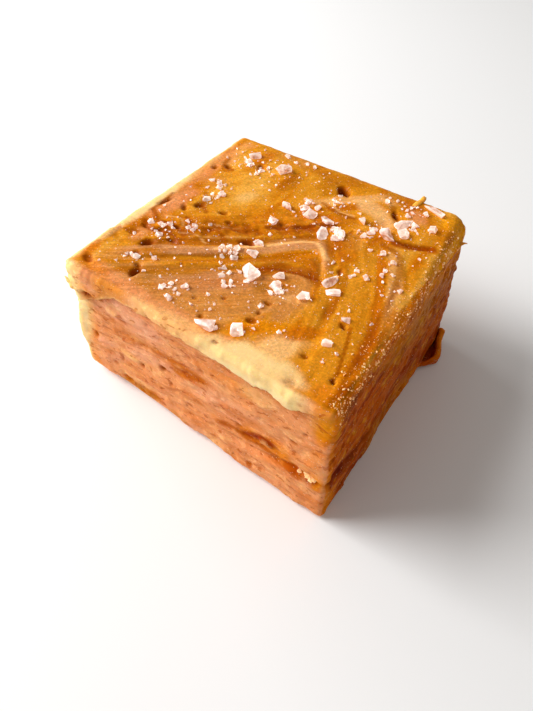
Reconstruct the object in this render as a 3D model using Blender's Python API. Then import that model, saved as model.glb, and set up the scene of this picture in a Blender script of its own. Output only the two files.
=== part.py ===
"""A square of caramel swirl fudge, cut by hand from a slab and strewn with coarse salt.

The front (-Y) and right (+X) sides are knife cuts with drag marks. The top was worked with a
paddle in one hooked sweep, which left ridges, furrows and pits, and its skin hangs a little
over the front cut. The grains of salt and a curl of fudge on the right are fused to the block.
Sizes below are in millimetres; the mesh is written in metres.
"""

import math

import bmesh
import bpy
import numpy as np
from mathutils import Matrix, Vector

MM = 0.001

# ---- driving dimensions -------------------------------------------------------------------
HEIGHT = 28.9
SIDES = np.array([52.5, 50.5, HEIGHT])
# A hand-cut piece isn't square: each corner's place on the board and at the top.
FOOT_CORNERS = {
    "front_left": (-28.5, -24.5),
    "front_right": (27.9, -25.7),
    "back_left": (-26.6, 24.8),
    "back_right": (26.3, 24.4),
}
TOP_CORNERS = {
    "front_left": (-25.2, -24.4),
    "front_right": (26.6, -25.6),
    "back_left": (-25.7, 24.6),
    "back_right": (24.6, 28.0),
}
# Edge radius at each corner, at the foot and at the top.
FOOT_ROUNDING = {"front_left": 3.6, "front_right": 0.7, "back_left": 2.4, "back_right": 1.8}
TOP_ROUNDING = {"front_left": 1.2, "front_right": 0.9, "back_left": 1.5, "back_right": 3.6}
BACK_FALLOFF = 3    # the roundings of the back corners end soon, so that the side edges are crisp

LATTICE_PITCH = 0.6
BODY_TRIANGLES = 7400
FOOT_SNAP = 0.15       # points lower than this are laid flat on the board

# ---- the worked top -----------------------------------------------------------------------
# The paddle's path has two nearly straight arms, which meet in a turn near the middle.
LEFT_ARM = [(-30, -25), (-15, -14), (-5, -6.5), (2, -0.2), (7, 4.6), (30, 27)]
RIGHT_ARM = [(2, 22), (7, 6), (10.4, -1.2), (13, -6.5), (15.2, -14), (16.5, -22), (17, -32)]
TURN_AT = 43.0         # distance along the sweep at which it turns
TURN_SOFTNESS = 7.0
INNER_STEEPNESS = 3.0  # inside the turn, the left arm's lines run on nearly to the right arm

# Across, half width, height, and from and to along the sweep.
FURROWS = [
    (-0.6, 0.9, 0.20, 8, 54),
    (-2.6, 0.6, -0.22, 8, 50),
    (-4.2, 0.5, 0.08, 8, 50),
    (-5.6, 0.4, -0.08, 8, 46),
    (1.5, 0.7, -0.18, 10, 68),
    (3.2, 0.6, 0.08, 30, 74),
    (8.3, 0.35, -0.08, 46, 78),
    (10.2, 0.5, 0.06, 46, 78),
    (13.0, 0.5, -0.12, 44, 80),
]
ROUGH_ACROSS, ROUGH_HALF, ROUGH_HEIGHT = 5.2, 3.0, 0.34
# x, y, half length, half width, depth, turn in degrees.
PITS = [
    (2.0, 19.4, 1.7, 1.15, 2.3, -40), (13.2, 18.4, 1.4, 0.6, 1.0, -50),
    (-3.9, -3.7, 1.5, 0.8, 0.9, 35), (-17.4, -13.8, 1.3, 1.0, 0.9, 60),
    (-13.9, -20.4, 1.5, 0.8, 0.9, 90), (-16.9, -0.4, 1.1, 0.7, 0.7, 40),
    (-20.3, 12.8, 1.0, 0.8, 0.5, 0), (19.4, -11.2, 1.0, 0.45, 0.8, -35),
    (23.4, -21.0, 0.7, 0.4, 0.9, -60), (18.9, -24.8, 1.5, 1.2, 0.2, 20),
    (7.6, -18.3, 1.1, 0.6, 0.5, 20), (7.4, -13.9, 0.9, 0.6, 0.4, 0),
    (17.8, -19.4, 0.8, 0.7, 0.35, 0), (-15.0, 16.2, 1.5, 0.8, 0.5, -50),
    (19.8, 12.8, 3.0, 0.9, 0.7, 18), (12.8, -0.9, 1.0, 0.5, 0.5, -60),
    (0.8, -22.0, 0.6, 0.5, 0.4, 0), (5.8, -24.8, 0.7, 0.5, 0.4, 0),
    (-16.9, -16.9, 0.8, 0.4, 0.4, 20), (-9.0, -14.6, 0.6, 0.4, 0.25, 35),
    (-22.3, -22.6, 1.6, 1.0, 0.5, -35), (-22.4, 11.0, 0.7, 0.9, 0.4, 0),
    (-18.6, -2.6, 0.6, 1.2, 0.5, 40), (-16.0, -7.8, 0.9, 0.5, 0.5, 30),
    (-14.4, -11.0, 1.2, 0.5, 0.6, 10), (-20.6, -10.6, 1.4, 0.5, 0.5, -10),
    (-17.8, -10.0, 0.9, 0.5, 0.5, 40), (-22.6, -3.4, 0.5, 1.6, 0.5, -15),
    (-12.0, 0.4, 1.0, 0.6, 0.5, 20), (-9.6, -1.2, 0.7, 0.5, 0.4, 60),
    (-14.6, -19.0, 0.7, 0.6, 0.6, 0), (7.6, -16.4, 0.5, 0.5, 0.4, 0),
    (1.4, -17.0, 0.5, 0.4, 0.35, 0), (-2.4, -19.6, 0.6, 0.4, 0.3, 0),
]


# ---- the cut sides ------------------------------------------------------------------------
# Lower edge of the skin that hangs over the front: x, height, how far it stands out.
SKIN_EDGE = np.array([(-28, 20.8, 0.0), (-25.4, 21.0, 0.3), (-23, 21.4, 1.4), (-19.5, 23.2, 1.2),
                      (-15, 26.0, 0.7), (-8, 26.4, 0.7), (0, 26.3, 0.7), (7, 26.2, 0.9),
                      (13.5, 25.5, 1.1), (16, 26.3, 0.9), (19.5, 25.0, 1.2), (22.5, 26.6, 0.8),
                      (28, 26.8, 0.4)])
SEAM_HEIGHT, SEAM_DEPTH = 9.4, 0.6
STREAK_DEPTH = 0.14
# The skin is torn at the front left corner: where, how far round it, and how roughly.
RAGGED_AT, RAGGED_REACH, RAGGED_HEIGHT = (-26.4, -25.0, 25.6), (4.5, 4.5, 4.0), 0.9
# Below that skin the front left edge has a notch, and lower down it swells: height, reach, rise.
EDGE_SWELLS = [(20.4, 0.9, -0.8), (11.0, 5.5, 0.8)]
# Holes and flakes of the front cut: x, z, half length, half height, depth (a flake is negative).
TEARS = [
    (-20.9, 23.6, 1.5, 0.9, 1.9), (-21.8, 18.6, 0.9, 0.6, 0.9), (-22.6, 12.2, 0.8, 1.1, 0.6),
    (-11.5, 11.0, 0.6, 0.8, 0.6), (-14.2, 11.6, 2.6, 0.9, -0.35), (-6.4, 13.8, 0.9, 0.8, 0.6),
    (-4.4, 11.3, 0.5, 0.6, 0.35), (20.8, 16.6, 1.4, 0.35, 0.6), (-16.4, 21.6, 2.2, 0.9, -0.45),
    (-15.0, 20.4, 1.5, 0.4, 0.4), (2.6, 19.6, 0.8, 0.5, 0.4), (0.2, 21.4, 0.7, 0.4, 0.4),
    (10.2, 11.6, 1.0, 0.4, 0.45), (14.6, 21.2, 1.9, 0.9, -0.25), (2.2, 11.0, 1.6, 0.3, 0.3),
    (15.6, 11.4, 1.5, 0.7, -0.4), (13.0, 3.0, 0.9, 0.7, 0.35), (-16.6, 3.6, 1.3, 1.0, 0.45),
    (-13.0, 2.0, 1.6, 0.7, 0.4), (-9.0, 3.4, 1.4, 0.6, 0.35), (3.4, 25.6, 0.6, 0.5, 0.5),
    (-8.2, 23.7, 0.5, 0.4, 0.3), (22.8, 20.6, 0.5, 0.5, 0.35), (5.2, 20.6, 0.7, 0.4, 0.35),
    (-18.6, 6.8, 0.9, 0.5, 0.35), (-16.6, 9.4, 0.5, 0.9, 0.4), (-7.4, 18.2, 0.6, 0.4, 0.3),
]


# ---- salt ---------------------------------------------------------------------------------
# The largest crystals: x, y, length, width, turn in degrees.
CRYSTALS = [
    (-10.8, 17.7, 3.1, 2.6, 60), (-18.2, 18.7, 2.5, 1.8, 0), (18.6, 23.9, 5.0, 1.4, -32),
    (15.7, 16.6, 3.4, 1.6, 80), (16.6, 14.2, 2.6, 1.9, 70), (14.8, 12.1, 2.9, 2.5, 30),
    (20.4, 18.3, 1.6, 1.4, 0), (0.8, 9.1, 2.3, 2.0, -20), (4.2, 9.3, 2.9, 1.3, -60),
    (-3.9, 8.6, 2.4, 1.3, 70), (5.3, 5.8, 2.6, 1.8, 80), (12.9, -4.1, 3.2, 1.5, -50),
    (14.5, -6.0, 2.4, 1.3, -70), (1.2, -10.0, 4.0, 2.2, -62), (-2.1, -2.9, 1.9, 1.4, -50),
    (-1.5, -5.5, 1.9, 1.4, -45), (5.5, -8.0, 1.8, 1.5, 0), (11.3, -9.8, 2.1, 1.7, 20),
    (2.5, -22.9, 3.3, 2.1, 75), (7.2, -21.3, 2.3, 2.0, -30), (19.3, -15.9, 1.6, 1.3, 80),
    (18.8, -10.0, 1.7, 1.4, -20), (-3.7, 3.8, 2.0, 1.4, 75), (9.2, 13.1, 1.9, 1.2, -35),
]
# Drifts of smaller grains: centre x, y, spread, how many, mean size.
DRIFTS = [
    (-18.2, 15.6, 1.2, 4, 1.3), (-13.0, 15.8, 2.4, 4, 1.1), (-18.3, 6.5, 1.6, 6, 1.2),
    (-16.8, 2.6, 1.5, 5, 1.1), (-0.8, 11.2, 1.7, 8, 1.1), (3.0, 15.0, 2.0, 6, 0.9),
    (7.8, 7.3, 1.6, 8, 1.4), (11.3, 11.6, 1.5, 6, 1.1), (12.5, 21.5, 2.8, 8, 0.9),
    (17.0, 17.0, 2.2, 8, 1.1), (17.2, 7.0, 1.8, 4, 1.0), (14.5, -1.0, 2.2, 5, 1.0),
    (-13.6, -6.0, 2.0, 6, 1.2), (-17.6, -9.8, 2.0, 6, 1.1), (-5.0, -7.6, 1.6, 8, 1.0),
    (-1.2, -12.8, 2.2, 9, 1.0), (7.4, -10.8, 1.4, 5, 1.2), (-6.2, -20.0, 2.0, 8, 1.0),
    (2.6, -17.0, 5.5, 10, 0.9), (-15.5, -18.0, 2.8, 5, 1.0), (-8.0, 22.0, 6.5, 6, 0.9),
    (20.5, 1.0, 2.4, 5, 0.9),
]
# Those in the seam of the front cut: x, spread, how many, mean size.
SEAM_SALT = (24.2, 1.9, 9, 0.9)
SMALLEST_SHARE, LARGEST_SHARE = 0.6, 1.3     # of a drift's mean size
SALT_LIMIT = 22.8                     # drifts end this far from the middle of the top
FUSED_LENGTH = 1.0                    # shorter grains are too small for the solid
GRAIN_SINK = 0.30                     # share of a grain's height below the surface
GRAIN_POINTS, GRAIN_BOXINESS = 11, 4.0

# ---- the curl of fudge that the knife pushed out at the foot of the right cut ---------------
# Its outer edge, back to front: x, y and the height of its rim. A pocket is left behind it.
CURL_EDGE = [(24.6, 23.4, 2.4), (26.8, 23.0, 3.6), (27.8, 22.4, 4.8), (28.2, 20.8, 3.3),
             (29.2, 18.8, 2.9), (29.4, 17.0, 2.3), (28.3, 15.3, 1.6), (26.6, 13.4, 1.3),
             (24.9, 12.0, 1.2)]
CURL_ROOT = 23.6             # x at which it is rooted inside the block
CURL_THICKNESS = 1.1
CURL_FOOT, CURL_FLOOR = 0.3, 0.8      # heights of its underside and of the pocket's floor

# Shreds of the skin that stand up, along their paths: x, y, z and half thickness.
SHREDS = [
    [(14.2, 22.4, 28.5, 0.40), (14.7, 23.6, 28.9, 0.60), (15.0, 24.8, 29.1, 0.60),
     (15.2, 25.6, 29.4, 0.50), (15.3, 26.1, 29.7, 0.30)],
    [(-23.0, -25.4, 23.6, 0.60), (-24.6, -25.4, 23.8, 0.50), (-26.0, -25.1, 24.0, 0.28),
     (-26.9, -25.0, 24.2, 0.06)],
    [(23.6, 22.0, 25.8, 0.60), (25.2, 22.4, 25.9, 0.40), (26.1, 22.6, 26.2, 0.15)],
]
SHRED_SIDES = 6

PLACE_SEED, GRAIN_SEED = 11, 12


# ---- small tools --------------------------------------------------------------------------
def smoothstep(low, high, value):
    """0 below low, 1 above high, and a smooth step between them."""
    t = np.clip((value - low) / (high - low), 0.0, 1.0)
    return t * t * (3.0 - 2.0 * t)


def smooth_noise(points, cell, seed):
    """Smooth noise from -1 to 1, with one new value for each cell; cell holds its three sides."""
    scaled = points / np.asarray(cell, float)
    base = np.floor(scaled).astype(np.int64)
    part = scaled - base
    part = part * part * (3.0 - 2.0 * part)
    total = np.zeros(len(points))
    for corner in np.ndindex(2, 2, 2):
        key = base + corner
        mixed = key[:, 0] * 73856093 ^ key[:, 1] * 19349663 ^ key[:, 2] * 83492791 ^ seed * 7919
        mixed = (mixed ^ (mixed >> 13)) * 1274126177
        value = ((mixed ^ (mixed >> 16)) & 0xFFFF) / 32767.5 - 1.0
        share = np.where(corner, part, 1.0 - part).prod(axis=1)
        total += value * share
    return total


def smooth_path(stations, steps=8):
    """A Catmull-Rom curve through the stations, with this many steps in each stretch."""
    knots = np.array(stations, float)
    knots = np.vstack([2 * knots[0] - knots[1], knots, 2 * knots[-1] - knots[-2]])
    found = []
    for a, b, c, d in zip(knots, knots[1:], knots[2:], knots[3:]):
        for t in np.linspace(0, 1, steps, endpoint=False):
            found.append(0.5 * (2 * b + (c - a) * t + (2 * a - 5 * b + 4 * c - d) * t**2
                                + (3 * b - a - 3 * c + d) * t**3))
    return np.array(found + [knots[-2]])


def beside_path(points, path):
    """Each point's distance along the path, and across it (positive on its left)."""
    starts, steps = path[:-1], np.diff(path, axis=0)
    lengths = np.linalg.norm(steps, axis=1)
    before = np.concatenate([[0.0], np.cumsum(lengths)[:-1]])
    best = np.full(len(points), np.inf)
    along, across = np.zeros(len(points)), np.zeros(len(points))
    for start, step, length, base in zip(starts, steps, lengths, before):
        away = points - start
        share = np.clip(away @ step / length**2, 0.0, 1.0)
        gap = np.linalg.norm(away - share[:, None] * step, axis=1)
        side = np.sign(step[0] * away[:, 1] - step[1] * away[:, 0])
        nearer = gap < best
        best = np.where(nearer, gap, best)
        along = np.where(nearer, base + share * length, along)
        across = np.where(nearer, gap * side, across)
    return along, across


def turned(points, x, y, degrees):
    """The points as seen from x, y along a direction turned by that angle."""
    c, s = math.cos(math.radians(degrees)), math.sin(math.radians(degrees))
    away = points[:, :2] - (x, y)
    return away[:, 0] * c + away[:, 1] * s, away[:, 1] * c - away[:, 0] * s


def dimple(u, v, half_u, half_v):
    """1 in the middle of an oval and 0 outside it, with a soft wall."""
    reach = np.sqrt((u / half_u) ** 2 + (v / half_v) ** 2)
    return 1.0 - smoothstep(0.35, 1.15, reach)


def sweep_coordinates(flat):
    """Distance along the sweep, and across it (positive outside the hook)."""
    left, right = smooth_path(LEFT_ARM), smooth_path(RIGHT_ARM)
    along_left, across_left = beside_path(flat, left)
    along_right, across_right = beside_path(flat, right)
    turn = np.array([[7.0, 4.6]])
    along_left += TURN_AT - beside_path(turn, left)[0]
    along_right += TURN_AT - beside_path(turn, right)[0]
    across_right = np.where(across_right < 0, INNER_STEEPNESS * across_right, across_right)
    share = np.clip(0.5 + 0.5 * (across_right - across_left) / TURN_SOFTNESS, 0, 1)
    across = across_left + share * (across_right - across_left)
    across += TURN_SOFTNESS * share * (1 - share)
    return along_left + share * (along_right - along_left), across


# ---- the block ----------------------------------------------------------------------------
def corner_table(foot, top):
    """The values at the eight corners as a (2, 2, 2, n) table: left to right, front to back, up."""
    table = [[[np.atleast_1d(np.array(level[f"{depth}_{side}"], float)) for level in (foot, top)]
              for depth in ("front", "back")] for side in ("left", "right")]
    return np.array(table)


def blend_corners(table, shares):
    """The table's value inside the block, where shares run from 0 to 1 along x, y and z."""
    total = 0.0
    for corner in np.ndindex(2, 2, 2):
        share = np.where(corner, shares, 1.0 - shares).prod(axis=1)
        total = total + share[:, None] * table[corner]
    return total


def box_lattice(counts):
    """Points of a box's surface as shares of its sides, and the quads between them."""
    numbers, quads = {}, []
    for axis in range(3):
        one, two = (axis + 1) % 3, (axis + 2) % 3
        for level in (0, counts[axis]):
            for i in range(counts[one]):
                for j in range(counts[two]):
                    ring = [(i, j), (i + 1, j), (i + 1, j + 1), (i, j + 1)]
                    quad = []
                    for a, b in ring if level else ring[::-1]:
                        key = [0, 0, 0]
                        key[axis], key[one], key[two] = level, a, b
                        quad.append(numbers.setdefault(tuple(key), len(numbers)))
                    quads.append(quad)
    return np.array(list(numbers)) / np.array(counts), quads


def rounded_block(shares):
    """The hand-cut block with rounded edges: its points and the way each one faces."""
    radius = blend_corners(corner_table(FOOT_ROUNDING, TOP_ROUNDING), shares ** (1, BACK_FALLOFF, 1))
    flat = shares * SIDES
    inner = np.clip(flat, radius, SIDES - radius)
    facing = flat - inner
    facing /= np.linalg.norm(facing, axis=1, keepdims=True)
    rounded = (inner + facing * radius) / SIDES
    places = blend_corners(corner_table(FOOT_CORNERS, TOP_CORNERS), rounded)
    return np.column_stack([places, rounded[:, 2] * HEIGHT]), facing


def pit_depth(points):
    """How deep each point lies in a pit of the top."""
    depth = np.zeros(len(points))
    for x, y, half_u, half_v, deep, turn in PITS:
        u, v = turned(points, x, y, turn)
        ragged = 1 + 0.25 * smooth_noise(points, (0.9, 0.9, 90), 12)
        depth += deep * dimple(u * ragged, v * ragged, half_u, half_v)
    return depth


def top_relief(points, along, across):
    """Height of the worked top."""
    sweep = np.column_stack([along, across, np.zeros(len(points))])
    height = 0.34 * smooth_noise(points, (15, 15, 90), 1)
    height += 0.12 * smooth_noise(points, (4, 4, 90), 2)
    wander = 0.35 * smooth_noise(sweep, (9, 3, 1), 5)
    for middle, half, rise, start, end in FURROWS:
        ends = smoothstep(start - 4, start + 4, along) * (1 - smoothstep(end - 4, end + 4, along))
        height += rise * ends * np.exp(-((across + wander - middle) / half) ** 2)
    torn = np.exp(-((across - ROUGH_ACROSS) / ROUGH_HALF) ** 2)
    torn *= 1 - 0.75 * smoothstep(TURN_AT - 8, TURN_AT + 10, along)
    lumps = smooth_noise(points, (2.1, 1.5, 90), 3) + 0.6 * smooth_noise(points, (0.9, 0.7, 90), 6)
    height += ROUGH_HEIGHT * torn * lumps
    height += 0.06 * smooth_noise(sweep, (9, 0.9, 1), 4)
    height += 0.02 * smooth_noise(sweep, (5, 0.45, 1), 7)
    height += 0.05 * smooth_noise(points, (1.1, 1.1, 90), 8)
    return height - pit_depth(points)


def dragged(run, height, seed):
    """Coordinates along and across the knife's drag, which wavers and climbs a little."""
    level = np.column_stack([run, height, np.zeros(len(run))])
    waver = 1.1 * smooth_noise(level, (9, 5, 1), seed) + 0.35 * smooth_noise(level, (3, 2, 1), seed + 1)
    return np.column_stack([run, height - 0.09 * run + waver, np.zeros(len(run))])


def seam_height(u):
    """Height of the furrow between the two pours, where u runs from 0 at the shared corner."""
    return SEAM_HEIGHT - 0.05 * u + 0.8 * np.sin(u * 0.33) - 0.004 * u * u


def cut_relief(run, height, seed, chips):
    """Drag marks along a knife-cut side, with small chips of that depth torn out of it."""
    drag = dragged(run, height, seed)
    rise = 0.36 * smooth_noise(drag, (13, 9, 1), seed + 2)
    rise += STREAK_DEPTH * smooth_noise(drag, (7.5, 1.3, 1), seed + 3)
    rise += 0.5 * STREAK_DEPTH * smooth_noise(drag, (3.0, 0.8, 1), seed + 4)
    rise += 0.3 * STREAK_DEPTH * smooth_noise(drag, (1.2, 0.5, 1), seed + 5)
    chip = smooth_noise(drag, (1.9, 0.9, 1), seed + 6)
    return rise + chips * (smoothstep(0.40, 0.55, chip) - smoothstep(0.45, 0.60, -chip))


def above_skin_edge(points):
    """Height of each point above the lower edge of the skin over the front cut."""
    x = points[:, 0]
    level = np.column_stack([x, np.zeros(len(x)), np.zeros(len(x))])
    wave = 0.25 * smooth_noise(level, (1.7, 1, 1), 31) + 0.12 * smooth_noise(level, (0.6, 1, 1), 34)
    return points[:, 2] - np.interp(x, SKIN_EDGE[:, 0], SKIN_EDGE[:, 1]) - wave


def skin_cover(points):
    """1 on the skin over the front cut, 0 below it, and how far it stands out there."""
    cover = smoothstep(-0.25, 0.25, above_skin_edge(points))
    return cover, cover * np.interp(points[:, 0], SKIN_EDGE[:, 0], SKIN_EDGE[:, 2])


def seam_cover(points, side):
    """1 on the seam's line and 0 away from it, with the height above it in millimetres."""
    run = 27 - points[:, 0] if side == "front" else 27 + points[:, 1]
    above = points[:, 2] - seam_height(run)
    fade = 1 - smoothstep(16, 27, run)
    return fade * np.exp(-(above / 0.6) ** 2), above


def tear_depth(points):
    """How deep each point of the front cut lies in a torn hole; flakes are negative."""
    depth = np.zeros(len(points))
    ragged = 1 + 0.3 * smooth_noise(points, (0.9, 0.9, 0.7), 32)
    for x, z, half_u, half_v, deep in TEARS:
        u, v = (points[:, 0] - x) * ragged, (points[:, 2] - z) * ragged
        depth += deep * dimple(u, v, half_u, half_v)
    return depth


def front_relief(points):
    """The front cut, with the lower pour standing a little proud below the seam."""
    seam, above = seam_cover(points, "front")
    height = cut_relief(points[:, 0], points[:, 2], 20, 0.14) - SEAM_DEPTH * seam
    height += 0.25 * smoothstep(0.6, -0.6, above)
    return height + skin_cover(points)[1] - tear_depth(points)


def right_relief(points):
    """The right cut: drag marks and the same seam, which runs round the corner."""
    seam, _ = seam_cover(points, "right")
    return cut_relief(points[:, 1], points[:, 2], 40, 0.24) - SEAM_DEPTH * seam


def corner_relief(points, facing):
    """Crumbs where the skin tore at the front left corner, and the swells of the edge below it."""
    reach = np.linalg.norm((points - RAGGED_AT) / RAGGED_REACH, axis=1)
    rough = smooth_noise(points, (1.2, 1.2, 0.9), 33) + 0.5 * smooth_noise(points, (0.6, 0.6, 0.5), 35)
    height = RAGGED_HEIGHT * (1 - smoothstep(0.3, 1.0, reach)) * rough
    edge = 2 * np.clip(-facing[:, 0], 0, 1) * np.clip(-facing[:, 1], 0, 1)
    for level, half, rise in EDGE_SWELLS:
        height += rise * edge * np.exp(-((points[:, 2] - level) / half) ** 2)
    return height


def side_shares(facing):
    """How far each point belongs to the top, front, right, left and back."""
    return {
        "top": smoothstep(0.35, 0.85, facing[:, 2]),
        "front": smoothstep(0.35, 0.9, -facing[:, 1]),
        "right": smoothstep(0.35, 0.9, facing[:, 0]),
        "left": smoothstep(0.35, 0.9, -facing[:, 0]),
        "back": smoothstep(0.35, 0.9, facing[:, 1]),
    }


def relief(points, facing, along, across):
    """How far the surface stands out of the plain rounded block."""
    side = side_shares(facing)
    height = side["top"] * top_relief(points, along, across)
    height += side["front"] * front_relief(points)
    height += side["right"] * right_relief(points)
    height += side["left"] * cut_relief(points[:, 1], points[:, 2], 60, 0.14)
    height += side["back"] * cut_relief(points[:, 0], points[:, 2], 80, 0.14)
    height = height / np.maximum(sum(side.values()), 1.0) + corner_relief(points, facing)
    # Nothing stands out at the foot, which is flat on the board.
    return height * smoothstep(-0.2, 0.3, facing[:, 2] + 1 - smoothstep(2.0, 0.0, points[:, 2]))


def block_surface(shares):
    """The finished surface of the block, in millimetres."""
    points, facing = rounded_block(shares)
    along, across = sweep_coordinates(points[:, :2])
    points = points + facing * relief(points, facing, along, across)[:, None]
    points[:, 2] = np.maximum(points[:, 2], 0.0)
    return points


# ---- making objects -----------------------------------------------------------------------
def material(name, colour, roughness):
    made = bpy.data.materials.new(name)
    made.use_nodes = True
    shader = made.node_tree.nodes["Principled BSDF"]
    shader.inputs["Base Color"].default_value = (*colour, 1.0)
    shader.inputs["Roughness"].default_value = roughness
    shader.inputs["Metallic"].default_value = 0.0
    return made


def add_object(name, mesh, collection=None):
    made = bpy.data.objects.new(name, mesh)
    (collection or bpy.context.scene.collection).objects.link(made)
    return made


def apply_modifiers(thing):
    """Puts the modified shape into the object's own mesh."""
    graph = bpy.context.evaluated_depsgraph_get()
    shaped = bpy.data.meshes.new_from_object(thing.evaluated_get(graph))
    thing.modifiers.clear()
    thing.data = shaped


def make_block():
    """The fudge alone: a fine lattice, shaped, then thinned where the surface is plain."""
    shares, quads = box_lattice([round(side / LATTICE_PITCH) for side in SIDES])
    points = block_surface(shares)
    low, high = points.min(axis=0), points.max(axis=0)
    middle = (low + high) / 2 * (1, 1, 0)
    mesh = bpy.data.meshes.new("fudge")
    mesh.from_pydata(((points - middle) * MM).tolist(), [], quads)
    block = add_object("fudge", mesh)
    thin = block.modifiers.new("Thin", "DECIMATE")
    thin.ratio = BODY_TRIANGLES / (2 * len(quads))
    apply_modifiers(block)
    for vertex in block.data.vertices:
        if vertex.co.z < FOOT_SNAP * MM:
            vertex.co.z = 0.0
    return block, Vector(middle * MM)


def make_grain(name, size, turn, draw, collection):
    """A chipped crystal of salt: the hull of random points on a boxy egg."""
    points = draw.normal(size=(GRAIN_POINTS, 3))
    points /= (np.abs(points) ** GRAIN_BOXINESS).sum(axis=1, keepdims=True) ** (1 / GRAIN_BOXINESS)
    points *= 0.5 * np.array(size) / np.abs(points).max(axis=0)
    shape = bmesh.new()
    for point in points:
        shape.verts.new(point)
    hull = bmesh.ops.convex_hull(shape, input=shape.verts)
    bmesh.ops.delete(shape, geom=hull["geom_interior"], context="VERTS")
    shape.transform(turn)
    mesh = bpy.data.meshes.new(name)
    shape.to_mesh(mesh)
    shape.free()
    return add_object(name, mesh, collection)


def seat_on(block, above, towards, sink):
    """A point that far under the block's surface, found along a ray, with the surface's normal."""
    found, place, normal, _ = block.ray_cast(above, towards)
    if not found:
        raise ValueError(f"nothing lies under the grain at {above}")
    return place - normal * sink, normal


def salt_list(draw):
    """Every grain on the top as x, y, length, width and turn in degrees."""
    grains = list(CRYSTALS)
    for x, y, spread, count, size in DRIFTS:
        for _ in range(count):
            near = np.clip(draw.normal((x, y), spread * 0.6), -SALT_LIMIT, SALT_LIMIT)
            length = size * draw.uniform(SMALLEST_SHARE, LARGEST_SHARE)
            grains.append((*near, length, length * draw.uniform(0.65, 1.0), draw.uniform(0, 180)))
    return grains


def strew_salt(block, middle, collection):
    """The grains on the top, then those that stick in the seam of the front cut."""
    draw = np.random.default_rng(PLACE_SEED)
    chip = np.random.default_rng(GRAIN_SEED)
    for number, (x, y, length, width, turn) in enumerate(salt_list(draw)):
        thickness = min(width * draw.uniform(0.6, 0.85), 1.5)
        above = Vector((x * MM, y * MM, 2 * HEIGHT * MM)) - middle
        sink = (0.5 - GRAIN_SINK) * -thickness * MM
        place, normal = seat_on(block, above, Vector((0, 0, -1)), sink)
        lean = normal.to_track_quat("Z", "Y").to_matrix().to_4x4()
        spin = Matrix.Rotation(math.radians(turn), 4, "Z")
        tip = Matrix.Rotation(draw.uniform(-0.35, 0.35), 4, "X")
        size = np.array([length, width, thickness]) * MM
        if length >= FUSED_LENGTH:
            make_grain(f"grain_{number:03d}", size, Matrix.Translation(place) @ lean @ spin @ tip,
                       chip, collection)
    x, spread, count, size = SEAM_SALT
    for number in range(count):
        run = x + draw.uniform(-spread, spread)
        level = seam_height(27 - run) + draw.uniform(-0.3, 0.3)
        ahead = Vector((run, -2 * SIDES[1], level)) * MM - middle
        place, _ = seat_on(block, ahead, Vector((0, 1, 0)), 0.0)
        spin = Matrix.Rotation(draw.uniform(0, math.pi), 4, Vector((1, 1, 1)).normalized())
        grain = size * draw.uniform(SMALLEST_SHARE, LARGEST_SHARE) * np.array([1, 0.8, 0.8])
        if grain[0] >= FUSED_LENGTH:
            make_grain(f"seam_grain_{number}", grain * MM, Matrix.Translation(place) @ spin,
                       chip, collection)


def add_tube(name, rings, middle, collection):
    """A closed tube through rings of points, with a cap at each end."""
    shape = bmesh.new()
    made = [[shape.verts.new(Vector(point) * MM - middle) for point in ring] for ring in rings]
    for one, two in zip(made, made[1:]):
        for k in range(len(one)):
            n = (k + 1) % len(one)
            shape.faces.new([one[k], one[n], two[n], two[k]])
    shape.faces.new(made[0][::-1])
    shape.faces.new(made[-1])
    bmesh.ops.recalc_face_normals(shape, faces=shape.faces)
    mesh = bpy.data.meshes.new(name)
    shape.to_mesh(mesh)
    shape.free()
    return add_object(name, mesh, collection)


def make_curl(middle, collection):
    """A low curved wall of fudge round a pocket; both ends and its floor run into the block."""
    rings = []
    half = CURL_THICKNESS / 2
    for x, y, rim in CURL_EDGE:
        profile = [(CURL_ROOT, CURL_FOOT), (x - half, CURL_FOOT), (x, CURL_FOOT + half),
                   (x, rim - half), (x - half, rim), (x - 2 * half, rim - half),
                   (x - 2.4 * half, CURL_FLOOR + 0.2), (CURL_ROOT, CURL_FLOOR)]
        rings.append([(max(out, CURL_ROOT - 0.2), y, level) for out, level in profile])
    return add_tube("curl", rings, middle, collection)


def make_shred(name, stations, middle, collection):
    """A tapered tube of fudge along the stations."""
    path = np.array(stations)
    rings = []
    for (*place, half), step in zip(path, np.gradient(path[:, :3], axis=0)):
        level = np.cross(step, (0, 0, 1))
        level /= np.linalg.norm(level)
        up = np.cross(level, step) / np.linalg.norm(step)
        angle = np.linspace(0, 2 * math.pi, SHRED_SIDES, endpoint=False)[:, None]
        rings.append(np.array(place) + half * (level * np.cos(angle) + 0.7 * up * np.sin(angle)))
    return add_tube(name, rings, middle, collection)


def fuse(block, collection):
    """Joins the collection's pieces to the block, and removes them."""
    join = block.modifiers.new("Fuse", "BOOLEAN")
    join.operation = "UNION"
    join.operand_type = "COLLECTION"
    join.solver = "MANIFOLD"
    join.collection = collection
    apply_modifiers(block)
    for piece in list(collection.objects):
        bpy.data.objects.remove(piece)
    bpy.data.collections.remove(collection)


def centre_on_foot(block):
    """Moves the mesh so that the middle of its bounding box's foot is the origin."""
    corners = np.array([corner[:] for corner in block.bound_box])
    low, high = corners.min(axis=0), corners.max(axis=0)
    block.data.transform(Matrix.Translation((*-(low + high)[:2] / 2, -low[2])))


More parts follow.
